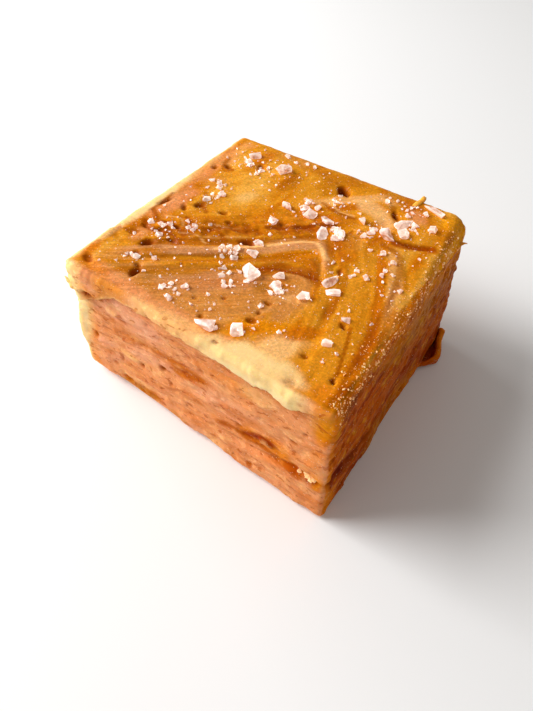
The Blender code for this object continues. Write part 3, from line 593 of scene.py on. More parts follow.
# Tone, strength, x, y, half length, half width, turn.
PATCHES = [
    ("pale_gold", 0.60, -14.0, 14.0, 4.0, 6.0, 0),
    ("peach", 0.50, -22.6, 12.0, 12.0, 2.2, 90),
    ("amber", 0.70, -16.2, 19.6, 4.0, 1.8, 84),
    ("amber", 0.70, -20.2, 11.8, 2.0, 1.2, 0),
    ("amber", 0.55, -15.8, 15.8, 2.0, 3.2, 0),
    ("dark_amber", 0.55, 3.8, 8.0, 2.6, 1.4, 40),
    ("amber", 0.60, 12.2, 4.2, 3.2, 1.4, -60),
    ("amber", 0.60, 12.4, -8.0, 2.6, 1.0, -70),
    ("dark_amber", 0.45, 16.0, -9.0, 4.6, 0.9, -82),
    ("tan", 0.45, -12.0, -4.0, 2.6, 1.6, 30),
    ("peach", 0.65, -20.4, -1.6, 5.4, 1.8, 92),
    ("peach", 0.50, -20.2, -12.4, 2.6, 1.6, 90),
    ("tan", 0.45, -19.4, 6.6, 3.0, 2.4, 30),
    ("pale_gold", 0.80, -12.0, 8.0, 5.0, 5.0, 80),
    ("butter", 0.30, -11.6, 7.0, 2.4, 1.6, 60),
    ("tan", 0.50, -10.6, 23.0, 4.5, 2.4, 0),
    ("umber", 0.40, -7.6, 15.0, 4.0, 1.4, 85),
    ("olive", 0.75, -1.0, 22.6, 6.0, 2.6, 0),
    ("olive", 0.60, 0.2, 19.4, 3.4, 3.4, 0),
    ("olive", 0.80, 11.6, 23.4, 5.0, 2.2, -8),
    ("amber", 0.60, 16.0, 21.6, 5.0, 2.4, -20),
    ("amber", 0.50, 24.0, 19.6, 4.0, 1.2, 80),
    ("cream", 0.75, 9.0, 17.2, 4.8, 2.0, -16),
    ("cream", 0.65, 12.6, 15.4, 3.2, 1.9, -40),
    ("peach", 0.60, 16.6, 20.2, 2.6, 1.6, -30),
    ("olive", 0.55, 6.4, 12.4, 4.0, 1.6, 0),
    ("tan", 0.45, 0.6, 8.4, 3.0, 2.0, 30),
    ("umber", 0.60, -16.6, 0.6, 3.0, 1.5, 100),
    ("golden", 0.55, -12.4, -4.4, 2.4, 1.4, 30),
    ("honey", 0.75, 24.6, -24.6, 3.0, 1.8, 60),
    ("toffee", 0.45, 25.2, -22.4, 2.4, 0.9, 90),
    ("golden", 0.60, -8.4, 0.4, 2.6, 1.5, 30),
    ("dark_amber", 0.55, -4.2, -3.4, 3.0, 0.8, 40),
    ("olive", 0.60, -10.6, -3.2, 6.0, 3.2, 36),
    ("olive", 0.55, -15.6, -8.4, 4.0, 2.6, 24),
    ("umber", 0.45, -8.6, -6.8, 3.0, 1.2, 36),
    ("amber", 0.80, 2.6, 9.6, 6.0, 2.2, 20),
    ("dark_amber", 0.65, 1.6, 5.0, 5.0, 1.5, 40),
    ("dark_amber", 0.40, 9.0, 6.8, 2.6, 1.8, -60),
    ("olive", 0.90, 5.6, -1.4, 4.2, 2.3, 24),
    ("honey", 0.50, 5.8, -0.2, 2.6, 1.0, 30),
    ("dark_amber", 0.60, 9.4, -3.4, 2.8, 1.0, -55),
    ("tan", 0.45, 10.6, 7.6, 3.4, 1.7, -58),
    ("mauve", 0.65, -0.6, -13.4, 5.6, 3.0, 36),
    ("mauve", 0.55, -5.6, -18.0, 5.4, 2.6, 30),
    ("umber", 0.45, 4.6, -11.6, 2.4, 1.4, 20),
    ("cream", 0.40, 9.6, -11.0, 2.4, 1.5, 20),
    ("umber", 0.50, -16.0, -14.0, 2.4, 1.6, 40),
    ("olive", 0.60, -15.6, -15.6, 3.0, 1.1, 34),
    ("umber", 0.45, -14.0, -20.4, 3.0, 1.6, 0),
    ("peach", 0.70, -3.0, -24.6, 18.0, 2.0, 0),
    ("cream", 0.55, -1.0, -25.0, 8.0, 1.4, 0),
    ("cream", 0.90, 14.0, -20.8, 5.0, 2.6, 50),
    ("cream", 0.75, 20.0, -24.2, 2.0, 1.4, 0),
    ("butter", 0.90, 11.0, -24.4, 7.0, 2.2, 8),
    ("butter", 0.70, 17.0, -24.2, 3.4, 2.2, 0),
    ("honey", 0.90, 9.2, -18.8, 6.0, 1.9, 34),
    ("amber", 0.85, 15.4, -16.0, 3.6, 1.5, 48),
    ("amber", 0.65, 7.2, -20.8, 3.2, 1.0, 30),
    ("amber", 0.90, 3.9, -23.3, 1.8, 1.3, 30),
    ("golden", 0.80, 20.8, -19.0, 2.6, 4.4, 0),
    ("amber", 0.70, 24.4, -8.0, 15.0, 1.2, 87),
    ("dark_amber", 0.45, 25.0, -12.0, 9.0, 0.9, 86),
    ("orange", 0.70, 23.4, -24.0, 2.4, 2.0, 0),
    ("red_brown", 0.50, 25.4, -22.6, 3.6, 1.0, 80),
    # The next two glazes are a painted highlight on the top's left rim, which faces the light.
    ("cream", 0.90, -24.4, -3.0, 22.0, 1.4, 90),
    ("butter", 0.90, -24.6, -6.0, 12.0, 1.7, 90),
    ("peach", 0.60, -22.0, -3.0, 6.0, 1.4, 90),
    ("peach", 0.55, -15.0, -23.6, 7.0, 2.0, -8),
    ("orange", 0.60, -20.0, -23.4, 4.0, 1.4, -12),
    ("orange", 0.75, -23.6, -20.6, 2.0, 1.1, 60),
    ("bright_honey", 0.70, 25.6, 15.0, 9.0, 1.6, 86),
    ("bright_honey", 0.50, 22.6, 22.6, 3.0, 2.4, 0),
    ("pale_gold", 0.60, 24.0, -0.6, 3.4, 1.3, 88),
    ("pale_gold", 0.50, 23.4, 11.6, 2.2, 1.1, 60),
    ("pale_gold", 0.45, 20.6, 5.2, 4.0, 1.2, -80),
    ("dark_amber", 0.45, 20.0, 12.4, 1.8, 0.9, 20),
]
# Tone, strength, half width, then its points.
STROKES = [
    ("red_brown", 0.80, 0.35, [(1.4, -8.6), (3.6, -6.6), (7, -5.5), (10.8, -4.8)]),
    ("dark_amber", 0.70, 1.30, [(1.6, -8.8), (4.4, -5.8), (8.5, -4.6), (11.5, -5.2)]),
    ("red_brown", 0.60, 0.50, [(-3.4, 1.8), (0, 4.4), (3.4, 7.4), (6, 9)]),
    ("deep_caramel", 0.75, 0.90, [(16.8, 11.4), (19.4, 12.2), (22.6, 13.8)]),
    ("dark_amber", 0.60, 0.60, [(15.4, 9.6), (19, 8.2), (21.6, 2), (23, -6), (24.2, -16)]),
    ("dark_amber", 0.75, 0.28, [(20.4, -11.0), (21.8, -14.8), (23.3, -20)]),
    ("dark_amber", 0.60, 0.50, [(0.8, 13.6), (4, 12.8), (7.6, 12.9)]),
    ("red_brown", 0.55, 0.70, [(11.6, 20.2), (13, 18.4), (14.4, 16.8)]),
    ("dark_amber", 0.55, 0.80, [(9.5, 5.5), (12, 1.6), (14.2, -2.6), (15.6, -7), (16, -11)]),
    # The next cream stroke is a painted highlight along the ridge of the hook.
    ("cream", 0.80, 0.38, [(-7, -8.4), (-3.4, -5), (0, -1.2), (3.4, 2.2), (6.2, 3), (9.4, 0.4)]),
    ("umber", 0.60, 0.40, [(-16, -17.4), (-9, -11.8), (-3, -7.4)]),
    ("amber", 0.60, 0.90, [(-24, -19), (-22.6, -23), (-19, -26)]),
    ("dark_amber", 0.75, 0.45, [(-22.5, -6.4), (-19.6, -8.2), (-16.8, -7.6), (-13.6, -8.8)]),
    ("dark_amber", 0.75, 0.45, [(-21.6, -9.6), (-18.6, -10.8), (-15.6, -9.8), (-12.8, -11)]),
    ("dark_amber", 0.70, 0.40, [(-16.4, -4.6), (-13, -5.6), (-10, -4.4), (-7.4, -5.4)]),
    ("dark_amber", 0.65, 0.40, [(-23.2, -0.6), (-22.6, -3.8), (-23, -6.8)]),
    ("dark_amber", 0.65, 0.50, [(-22.2, 15.4), (-21.4, 12.8), (-19, 12.2)]),
    ("dark_amber", 0.70, 0.45, [(-18.2, 3.2), (-16.6, 0.2), (-14.6, -1.4)]),
    ("cream", 0.60, 0.22, [(-14.6, -8.6), (-12, -7.4), (-9.4, -8.2)]),
    ("cream", 0.60, 0.20, [(-12.4, -3.6), (-9.6, -2.6), (-7.2, -1.2)]),
    ("cream", 0.50, 0.20, [(-19.4, -6.6), (-17, -5.6), (-15.4, -6.8)]),
    ("cream", 0.55, 0.22, [(1.6, 14.4), (4.2, 13.4), (7.2, 13.6)]),
    ("pale_gold", 0.80, 0.35, [(26.0, 15.0), (25.2, 9.0), (24.6, 4.0), (24.4, -3.0)]),
]


def band_mask(along, across, middle, half, start, end, seed):
    """A band along the sweep with ragged edges, from start to end."""
    sweep = np.column_stack([along, across, np.zeros(len(along))])
    edge = np.abs(across - middle) / half + 0.45 * smooth_noise(sweep, (7, 1.3, 1), seed)
    ends = window(along, start - 5, start + 3, end - 4, end + 5)
    return ends * (1 - smoothstep(0.55, 1.25, edge))


CARAMEL_TONES = ("amber", "dark_amber", "olive")


def paint_top(points, along, across):
    """Colour of the top, how much caramel lies in each point, and how strongly it is streaked."""
    sweep = np.column_stack([along, across, np.zeros(len(points))])
    colour = np.tile(linear("golden"), (len(points), 1))
    caramel = np.zeros(len(points))
    upright = 0.6 * smooth_noise(points, (2.0, 9, 90), 50)
    upright += 0.4 * smooth_noise(points, (0.9, 5, 90), 51)
    lay(colour, "amber", 0.75 * smoothstep(0.0, 0.5, upright))
    lay(colour, "pale_gold", 0.6 * smoothstep(0.1, 0.6, -upright))
    for number, (tone, strength, middle, half, start, end) in enumerate(BANDS):
        mask = strength * band_mask(along, across, middle, half, start, end, 90 + number)
        lay(colour, tone, mask)
        caramel = caramel * (1 - mask) + mask * (tone in CARAMEL_TONES)
    for number, (tone, strength, x, y, half_u, half_v, turn) in enumerate(PATCHES):
        mask = strength * oval(points, x, y, half_u, half_v, turn, 60 + number)
        lay(colour, tone, mask)
        caramel = caramel * (1 - mask) + mask * (tone in CARAMEL_TONES)
    streak = smooth_noise(sweep, (12, 0.8, 1), 110) + 0.5 * smooth_noise(sweep, (6, 0.4, 1), 111)
    pulled = (1 - smoothstep(2, 9, across)) * (1 - 0.85 * smoothstep(TURN_AT - 6, TURN_AT + 8, along))
    pulled *= 1 - smooth_wedge(points)
    lay(colour, "amber", 0.35 * pulled * smoothstep(0.25, 0.9, streak))
    lay(colour, "cream", 0.25 * pulled * smoothstep(0.35, 1.0, -streak))
    lay(colour, "amber", 0.25 * smoothstep(0.2, 0.9, smooth_noise(points, (2.6, 2.2, 90), 112)))
    for number, (tone, strength, half, stations) in enumerate(STROKES):
        _, gap = beside_path(points[:, :2], smooth_path(stations))
        edge = np.abs(gap) / half + 0.4 * smooth_noise(points, (1.6, 1.6, 90), 120 + number)
        lay(colour, tone, strength * (1 - smoothstep(0.5, 1.3, edge)))
    torn = np.exp(-((across - ROUGH_ACROSS) / ROUGH_HALF) ** 2) * (along < TURN_AT)
    fleck = smooth_noise(points, (2.1, 1.5, 90), 3) + 0.6 * smooth_noise(points, (0.9, 0.7, 90), 6)
    lay(colour, "dark_amber", 0.75 * torn * smoothstep(0.1, 0.7, -fleck))
    lay(colour, "pale_gold", 0.45 * torn * smoothstep(0.3, 1.0, fleck))
    # Pits are painted darker with depth: painted shade in the hollows.
    lay(colour, "dark_amber", 0.8 * smoothstep(0.05, 0.35, pit_depth(points)))
    lay(colour, "red_brown", 0.7 * smoothstep(0.6, 1.3, pit_depth(points)))
    return colour, caramel, pulled


print(len(BANDS), "bands,", len(PATCHES), "patches and", len(STROKES), "strokes")

# %% [markdown]
# ### The cut sides
#
# The front was cut through pale fudge: peach and pink, streaked level by the knife, with the dark
# seam low down on its right. The right side was cut through a pocket of caramel and is far darker.
# The left side and the back are marbled like the front.

# %% Streaked sides
# Left border of the front cut: height and x. Past it the edge is rounded and turns to the light, and its
# cream is a painted highlight.
HIGHLIGHT_BORDER = np.array([(0, -26.0), (5.2, -25.2), (12.5, -23.4), (18.6, -22.2), (21.5, -21.6)])
# Patches of the front: tone, strength, x, z, half length, half height, turn.
FRONT_PATCHES = [
    ("pink", 0.85, -11.0, 22.8, 8.0, 3.2, 0),
    ("pink", 0.60, -16.0, 21.4, 3.0, 1.6, 0),
    ("peach", 0.60, 12.0, 22.8, 14.0, 2.6, 0),
    ("peach", 0.70, -2.0, 21.4, 6.0, 1.6, 0),
    ("clay", 0.95, -0.6, 17.0, 5.6, 2.6, 10),
    ("orange", 0.50, 7.6, 21.4, 6.0, 2.0, 0),
    ("caramel", 0.60, 0.6, 16.8, 4.2, 1.2, 10),
    ("caramel", 0.35, -5.0, 17.4, 3.4, 0.9, 10),
    ("pink", 0.70, -10.0, 14.4, 7.0, 1.6, 8),
    ("pink", 0.60, 4.0, 13.4, 5.0, 1.2, 10),
    ("caramel", 0.30, 1.6, 21.8, 2.4, 0.8, -60),
    ("caramel", 0.30, -7.0, 17.6, 2.4, 1.0, 20),
    ("clay", 0.60, -14.0, 16.6, 6.0, 1.4, 10),
    ("caramel", 0.55, -14.6, 20.4, 1.2, 0.5, 0),
    ("cream", 0.55, -14.4, 11.8, 2.8, 1.0, -5),
    ("pink", 0.60, -20.0, 11.6, 2.6, 1.4, 10),
    ("pink", 0.55, -18.6, 8.0, 4.0, 1.4, 40),
    ("clay", 0.60, -9.0, 8.0, 8.0, 1.6, 10),
    ("peach", 0.60, -2.0, 8.2, 6.0, 1.6, 5),
    ("clay", 0.70, -13.0, 3.2, 6.0, 2.0, 4),
    ("cocoa", 0.80, -12.5, 2.6, 6.0, 1.4, 4),
    ("cocoa", 0.60, -3.6, 2.2, 3.4, 1.1, 0),
    ("caramel", 0.50, -16.6, 3.2, 1.3, 1.0, 0),
    ("caramel", 0.45, -10.4, 3.6, 1.8, 0.8, 30),
    ("caramel", 0.55, -1.6, 1.9, 2.2, 0.8, 20),
    ("caramel", 0.60, 12.9, 2.8, 1.0, 0.9, 0),
    ("caramel", 0.80, -21.8, 18.7, 0.9, 0.7, 30),
    ("orange", 0.80, -22.8, 12.4, 1.0, 2.2, -20),
    ("orange", 0.90, -20.6, 23.4, 2.6, 1.4, 20),
    ("caramel", 0.70, -19.4, 22.9, 1.6, 0.8, 20),
    ("orange", 0.75, -24.6, 3.4, 1.4, 2.6, 20),
    ("clay", 0.65, 10.0, 14.0, 6.0, 1.8, 12),
    ("orange", 0.85, 13.6, 10.8, 9.0, 2.4, 10),
    ("caramel", 0.90, 14.2, 11.6, 4.2, 1.4, 16),
    ("caramel", 0.80, 8.0, 9.6, 3.6, 0.9, 16),
    ("caramel", 0.80, 14.0, 9.4, 6.0, 0.8, 3),
    ("caramel", 0.80, 21.4, 9.2, 3.6, 1.2, -6),
    ("deep_caramel", 0.80, 15.4, 11.9, 1.8, 0.8, 10),
    ("deep_caramel", 0.60, 21.0, 9.3, 1.6, 0.6, 0),
    ("deep_caramel", 0.55, 10.6, 9.5, 1.8, 0.5, 10),
    ("caramel", 0.45, 25.4, 9.6, 2.4, 1.6, 0),
    ("peach", 0.50, 16.0, 5.4, 10.0, 1.8, 0),
    ("clay", 0.45, 4.0, 4.2, 6.0, 1.2, 5),
    ("orange", 0.80, 25.4, 22.0, 4.6, 1.7, 85),
    ("orange", 0.45, 24.6, 14.0, 5.0, 1.4, 80),
    ("orange", 0.70, -21.6, 24.4, 3.4, 1.5, 0),
    ("cream", 0.40, 14.0, 22.6, 4.0, 1.6, 0),
    ("peach", 0.50, 16.0, 19.4, 7.0, 2.0, 10),
    ("cream", 0.35, -14.0, 4.8, 6.0, 0.8, 10),
    ("cream", 0.35, 6.0, 2.6, 3.0, 1.4, 0),
    ("deep_caramel", 0.85, 14.0, 11.0, 3.4, 0.9, 12),
    ("honey", 0.75, 25.9, 24.4, 3.4, 1.5, 85),
    ("toffee", 0.55, 26.2, 22.6, 2.4, 0.9, 85),
    ("honey", 0.60, 26.0, 10.0, 3.0, 1.2, 85),
    ("deep_caramel", 0.50, 24.6, 9.2, 1.6, 0.6, 0),
    ("caramel", 0.55, 18.4, 8.6, 3.0, 0.6, 0),
    ("orange", 0.55, 25.6, 10.4, 2.0, 3.0, 80),
    ("cocoa", 0.55, -15.0, 2.0, 4.0, 1.0, 0),
    ("deep_caramel", 0.45, -13.2, 3.4, 0.9, 0.6, 0),
    ("deep_caramel", 0.45, -8.0, 2.6, 1.2, 0.5, 20),
]


def paint_front(points):
    """Colour of the front cut, with its seam, its skin, its torn holes and the painted highlight of its
    cream left edge.
    """
    x, z = points[:, 0], points[:, 2]
    level = np.column_stack([x, z, np.zeros(len(x))])
    drag = dragged(x, z, 20)
    colour = np.tile(linear("peach"), (len(points), 1))
    broad = smooth_noise(drag, (9, 2.6, 1), 200)
    lay(colour, "clay", 0.6 * smoothstep(0.0, 0.7, broad))
    lay(colour, "pink", 0.5 * smoothstep(0.1, 0.7, -broad))
    for number, (tone, strength, px, pz, half_u, half_v, turn) in enumerate(FRONT_PATCHES):
        lay(colour, tone, strength * oval(level, px, pz, half_u, half_v, turn, 210 + number))
    fine = smooth_noise(drag, (4.0, 0.9, 1), 250) + 0.6 * smooth_noise(drag, (1.3, 0.5, 1), 251)
    lay(colour, "clay", 0.30 * smoothstep(0.2, 0.9, fine))
    lay(colour, "cream", 0.25 * smoothstep(0.45, 1.0, -fine))
    speck = smooth_noise(level, (0.7, 0.6, 1), 252)
    lay(colour, "caramel", 0.20 * smoothstep(0.55, 0.85, speck))
    seam, _ = seam_cover(points, "front")
    lay(colour, "caramel", 0.7 * seam * smoothstep(-0.5, 0.3, smooth_noise(level, (3, 1, 1), 232)))
    cover, _ = skin_cover(points)
    above = above_skin_edge(points)
    border = np.interp(z, HIGHLIGHT_BORDER[:, 0], HIGHLIGHT_BORDER[:, 1])
    border = border + 0.4 * smooth_noise(level, (1.5, 2, 1), 233)
    # Cream and milk past the border are a painted highlight on the rounded left edge, which faces the
    # light.
    lay(colour, "cream", 0.90 * smoothstep(1.2, -0.9, x - border) * smoothstep(0.5, 4, z))
    lay(colour, "milk", 0.70 * smoothstep(-0.2, -1.6, x - border) * smoothstep(4, 9, z))
    beside = np.exp(-((x - border - 0.8) / 0.7) ** 2)
    lay(colour, "orange", 0.35 * beside * smoothstep(8, 4, np.abs(z - 10)))
    # A thin painted shadow under the overhang of the skin.
    lay(colour, "caramel", 0.55 * np.exp(-((above + 0.55) / 0.3) ** 2))
    lay(colour, "butter", cover * window(x, -1, 5, 20, 24))
    lay(colour, "milk", 0.8 * cover * window(x, 3, 8, 17, 21) * smoothstep(28, 26.6, z))
    lay(colour, "cream", 0.75 * cover * window(x, -13, -8, -1, 5))
    lay(colour, "honey", 0.7 * cover * window(x, -20, -17, -13, -10))
    lay(colour, "cream", 0.6 * cover * (1 - smoothstep(-24, -20, x)))
    # A thin painted highlight along the lower edge of the skin.
    lay(colour, "cream", 0.8 * np.exp(-((above - 0.25) / 0.3) ** 2) * smoothstep(6, -2, x))
    # Torn holes are painted darker with depth: painted shade in the hollows.
    lay(colour, "caramel", 0.9 * smoothstep(0.15, 0.6, tear_depth(points)))
    lay(colour, "orange", 0.7 * smoothstep(0.9, 1.8, tear_depth(points)))
    lay(colour, "cream", 0.5 * smoothstep(0.1, 0.4, -tear_depth(points)))
    lay(colour, "honey", 0.75 * smoothstep(22.0, 24.6, x) * smoothstep(21.0, 24.0, z))
    return colour


def paint_right(points):
    """Colour of the right cut: dark caramel, with a bright border under the top and a painted highlight
    along its edge.
    """
    y, z = points[:, 1], points[:, 2]
    level = np.column_stack([y, z, np.zeros(len(y))])
    drag = dragged(y, z, 40)
    colour = np.tile(linear("toffee"), (len(points), 1))
    broad = smooth_noise(drag, (8, 2.4, 1), 260)
    lay(colour, "deep_caramel", 0.75 * smoothstep(-0.1, 0.6, broad))
    lay(colour, "cocoa", 0.55 * smoothstep(-10, 22, y) * smoothstep(6, 24, z))
    lay(colour, "cocoa", 0.5 * oval(level, 2, 20, 14, 4.5, -10, 261))
    fine = smooth_noise(drag, (2.2, 0.55, 1), 262) + 0.6 * smooth_noise(drag, (0.9, 0.4, 1), 263)
    lay(colour, "pale_gold", 0.45 * smoothstep(0.55, 0.85, fine))
    lay(colour, "red_brown", 0.55 * smoothstep(0.4, 0.9, -fine))
    lay(colour, "red_brown", 0.85 * oval(level, -22, 9.6, 2.4, 1.8, 0, 264))
    lay(colour, "red_brown", 0.75 * oval(level, -15, 8.0, 6.0, 1.5, -12, 265))
    lay(colour, "red_brown", 0.85 * oval(level, -20, 26.0, 5.0, 2.6, 0, 266))
    lay(colour, "red_brown", 0.6 * oval(level, 0, 28, 4.5, 1.6, -20, 267))
    corner = y + 0.6 * smooth_noise(level, (1.5, 3, 1), 268)
    lay(colour, "orange", 0.7 * (1 - smoothstep(-25.2, -24.0, corner)))
    high = z + 1.2 * smooth_noise(level, (4.0, 1, 1), 269) + 0.5 * smooth_noise(level, (1.1, 1, 1), 270)
    lay(colour, "glow", 0.40 * smoothstep(20, 27, high + 0.10 * y))
    lay(colour, "red_brown", 0.60 * oval(level, -19.5, 8.6, 3.2, 2.6, -10, 271))
    lay(colour, "orange", 0.75 * smoothstep(7.5, 3.0, z) * (1 - smoothstep(-24.0, -20.5, y)))
    lay(colour, "honey", 0.35 * smoothstep(7.5, 5.5, z) * window(y, -14, -8, 8, 12))
    # A painted highlight along the top edge of the right cut.
    lay(colour, "glow", 0.75 * smoothstep(26.8, 28.4, high))
    lay(colour, "glow", 0.55 * smoothstep(8, 20, y) * smoothstep(22, 25, high))
    lay(colour, "bright_honey", 0.85 * smoothstep(5, 13, y) * smoothstep(24.0, 26.6, high))
    groove = high - np.interp(y, (0, 14, 24), (30, 25.6, 23.4))
    lay(colour, "deep_caramel", 0.7 * np.exp(-(groove / 0.35) ** 2) * smoothstep(4, 12, y))
    return colour


def paint_plain_cut(run, height, seed):
    """A side that was cut through pale fudge with a few veins of caramel."""
    level = dragged(run, height, seed)
    colour = np.tile(linear("peach"), (len(run), 1))
    broad = smooth_noise(level, (12, 2.6, 1), seed)
    lay(colour, "tan", 0.7 * smoothstep(0.0, 0.6, broad))
    lay(colour, "pink", 0.5 * smoothstep(0.05, 0.6, -broad))
    vein = np.abs(smooth_noise(level, (15, 3.8, 1), seed + 1))
    lay(colour, "caramel", 0.75 * (1 - smoothstep(0.04, 0.16, vein)))
    fine = smooth_noise(level, (5.5, 0.6, 1), seed + 2)
    fine += 0.6 * smooth_noise(level, (2.4, 0.35, 1), seed + 3)
    lay(colour, "clay", 0.55 * smoothstep(0.2, 0.9, fine))
    lay(colour, "cream", 0.40 * smoothstep(0.4, 1.0, -fine))
    return colour


DEEP_BLUE = 0.05    # deep tones, with less blue than this, lose what blue they have left
PLAIN_BLUE = (0.28, 0.17)    # pale fudge, with more blue than this, is smooth and isn't streaked
# How strongly the streaks show on each side that isn't the top.
CUT_PULL = {"front": 0.35, "right": 0.55, "left": 0.8, "back": 0.8, "under": 0.8}


def paint_block(points, facing, along, across):
    """Colour of every point, its caramel, its streaks and its cut, mixed where sides meet."""
    side = side_shares(facing)
    side["under"] = smoothstep(0.4, 0.9, -facing[:, 2])
    colour, total = np.zeros((len(points), 3)), np.full(len(points), 1e-6)
    caramel, pull = np.zeros(len(points)), np.zeros(len(points))
    for name, share in side.items():
        share = share ** 3
        here = share > 0
        x, y, z = points[here].T
        if name == "top":
            layer, caramel[here], pulled = paint_top(points[here], along[here], across[here])
        elif name == "front":
            layer = paint_front(points[here])
        elif name == "right":
            layer = paint_right(points[here])
        elif name == "left":
            layer = paint_plain_cut(y, z, 260)
        elif name == "back":
            layer = paint_plain_cut(x, z, 270)
        else:
            layer = paint_plain_cut(x, y, 280)
        # Surfaces that turn towards the lights on the left are painted cream: a painted highlight.
        if name in ("top", "front", "left"):
            lay(layer, "cream", 0.85 * window(-facing[here, 0], 0.08, 0.5, 0.80, 0.97))
        colour[here] += share[here, None] * layer
        pull[here] += share[here] * (pulled if name == "top" else CUT_PULL[name])
        total[here] += share[here]
    colour /= total[:, None]
    colour[:, 2] *= np.clip(colour[:, 2] / DEEP_BLUE, 0.25, 1)
    streaked = smoothstep(*PLAIN_BLUE, colour[:, 2])
    return colour, caramel * side["top"], streaked * pull / total, streaked * (1 - side["top"])


colour, caramel, pull, cut = paint_block(surface, facing, along, across)
print("mean colour of the top", colour[facing[:, 2] > 0.9].mean(axis=0).round(3))

# %% [markdown]
# ## From points to a mesh
#
# The mesh carries five attributes for its material: the painted tone, the amount of caramel, how
# strongly it is streaked, where it was cut, and a flow vector in millimetres, along the streaks and
# across them, so that the shader can draw streaks and flakes far finer than the lattice.

# %% Make the fudge
ROUND_CORNER = 52.0    # the front's streaks run on round the right corner, from x = 26 to y = -26


def add_object(name, data):
    """An object that holds this mesh, light or camera, linked to the scene."""
    made = bpy.data.objects.new(name, data)
    bpy.context.scene.collection.objects.link(made)
    return made


def store(mesh, name, kind, values):
    """Stores one value for each point of the mesh as a named attribute."""
    attribute = mesh.attributes.new(name, kind, "POINT")
    key = {"FLOAT": "value", "FLOAT_VECTOR": "vector", "FLOAT_COLOR": "color"}[kind]
    attribute.data.foreach_set(key, np.asarray(values, np.float32).ravel())


def store_paint(mesh, colour, flow, caramel, pull, cut):
    """Stores what the fudge's material reads; the last three are one number or one for each point."""
    count = len(mesh.vertices)
    store(mesh, "tone", "FLOAT_COLOR", np.hstack([colour, np.ones((count, 1))]))
    store(mesh, "flow", "FLOAT_VECTOR", flow)
    for name, values in (("caramel", caramel), ("pull", pull), ("cut", cut)):
        store(mesh, name, "FLOAT", np.broadcast_to(values, count))


def flow_vector(points, along, across, side):
    """Where each point lies along, across and above the streaks of its side."""
    top = side["top"][:, None]
    cut_x = np.maximum(side["front"], side["back"])[:, None]
    on_top = np.column_stack([along, across, points[:, 2]])
    on_front = dragged(points[:, 0], points[:, 2], 20)
    on_side = dragged(points[:, 1] + ROUND_CORNER, points[:, 2], 20)
    return np.where(top > 0.5, on_top, np.where(cut_x > 0.5, on_front, on_side))


def mesh_from(name, points, faces):
    """A smooth mesh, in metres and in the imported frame, from points in millimetres."""
    mesh = bpy.data.meshes.new(name)
    mesh.from_pydata(((points + offset) * MM).tolist(), [], faces)
    mesh.shade_smooth()
    return mesh


block_mesh = mesh_from("swirl_fudge", surface, block_faces)
flow = flow_vector(surface, along, across, side_shares(facing))
store_paint(block_mesh, colour, flow, caramel, pull, cut)
fudge = add_object("swirl_fudge", block_mesh)
block_mesh.calc_loop_triangles()
print("fudge has", len(block_mesh.loop_triangles), "triangles")

# %% [markdown]
# ## Small tools for nodes
#
# A material is a tree of nodes whose sockets are linked. Written out, each step takes a line for its
# node and one for every link, so a few helpers take that up. `set_inputs` links or sets a node's
# inputs by name, `math_node`, `product` and `vector_math` calculate, `map_range` is a soft step and
# `mix_colour` lays one colour over another. The salt's Geometry Nodes are built with them too.

# %% Helpers that add and link nodes
def add_node(tree, kind, **values):
    """A new node with those settings."""
    node = tree.nodes.new(kind)
    for name, value in values.items():
        setattr(node, name, value)
    return node


def link_or_set(tree, socket, value):
    """Links the socket to another one, or sets it to a value; None leaves it as it is."""
    if isinstance(value, bpy.types.NodeSocket):
        tree.links.new(value, socket)
    elif value is not None:
        socket.default_value = value


def set_inputs(tree, node, **values):
    """Links or sets a node's inputs by name, where an underscore stands for a space."""
    for name, value in values.items():
        link_or_set(tree, node.inputs[name.replace("_", " ")], value)


def math_node(tree, operation, one, two, three=None):
    """The result of a sum, product or other step on numbers or sockets."""
    node = add_node(tree, "ShaderNodeMath", operation=operation)
    for socket, value in zip(node.inputs, (one, two, three)):
        link_or_set(tree, socket, value)
    return node.outputs[0]


def product(tree, first, *others):
    """All the values multiplied together, in that order."""
    for value in others:
        first = math_node(tree, "MULTIPLY", first, value)
    return first


def vector_math(tree, operation, one, two=None, scale=None):
    """The result of a step on vectors, which is a number for a dot product or a length."""
    node = add_node(tree, "ShaderNodeVectorMath", operation=operation)
    link_or_set(tree, node.inputs[0], one)
    link_or_set(tree, node.inputs[1], two)
    if scale is not None:
        link_or_set(tree, node.inputs["Scale"], scale)
    return node.outputs["Value"] if operation in ("DOT_PRODUCT", "LENGTH") else node.outputs["Vector"]


def map_range(tree, value, low, high, to_low=0.0, to_high=1.0):
    """A soft step of the value, which runs from to_low at low to to_high at high."""
    node = add_node(tree, "ShaderNodeMapRange", interpolation_type="SMOOTHSTEP")
    set_inputs(tree, node, Value=value, From_Min=low, From_Max=high, To_Min=to_low, To_Max=to_high)
    return node.outputs["Result"]


def mix_colour(tree, share, one, two, blend="MIX"):
    """The first colour with that share of the second one laid over it."""
    node = add_node(tree, "ShaderNodeMix", data_type="RGBA", blend_type=blend)
    for number, value in ((0, share), (6, one), (7, two)):
        link_or_set(tree, node.inputs[number], value)
    return node.outputs[2]


node_helpers = (set_inputs, math_node, product, vector_math, map_range, mix_colour)
print("node helpers:", ", ".join(helper.__name__ for helper in node_helpers))

# %% [markdown]
# ## Effects that several materials share
#
# `Pulled streaks` draws fine lines along the flow. `Torn flakes` gives the small flakes that a knife
# tears up, and the gaps between them. `Sugar grain` speckles a surface with the tiny crystals that
# make fudge short and matt. All three give a height for the bump as well. They are node groups with
# named inputs, so another sweet can take them over with its own values.

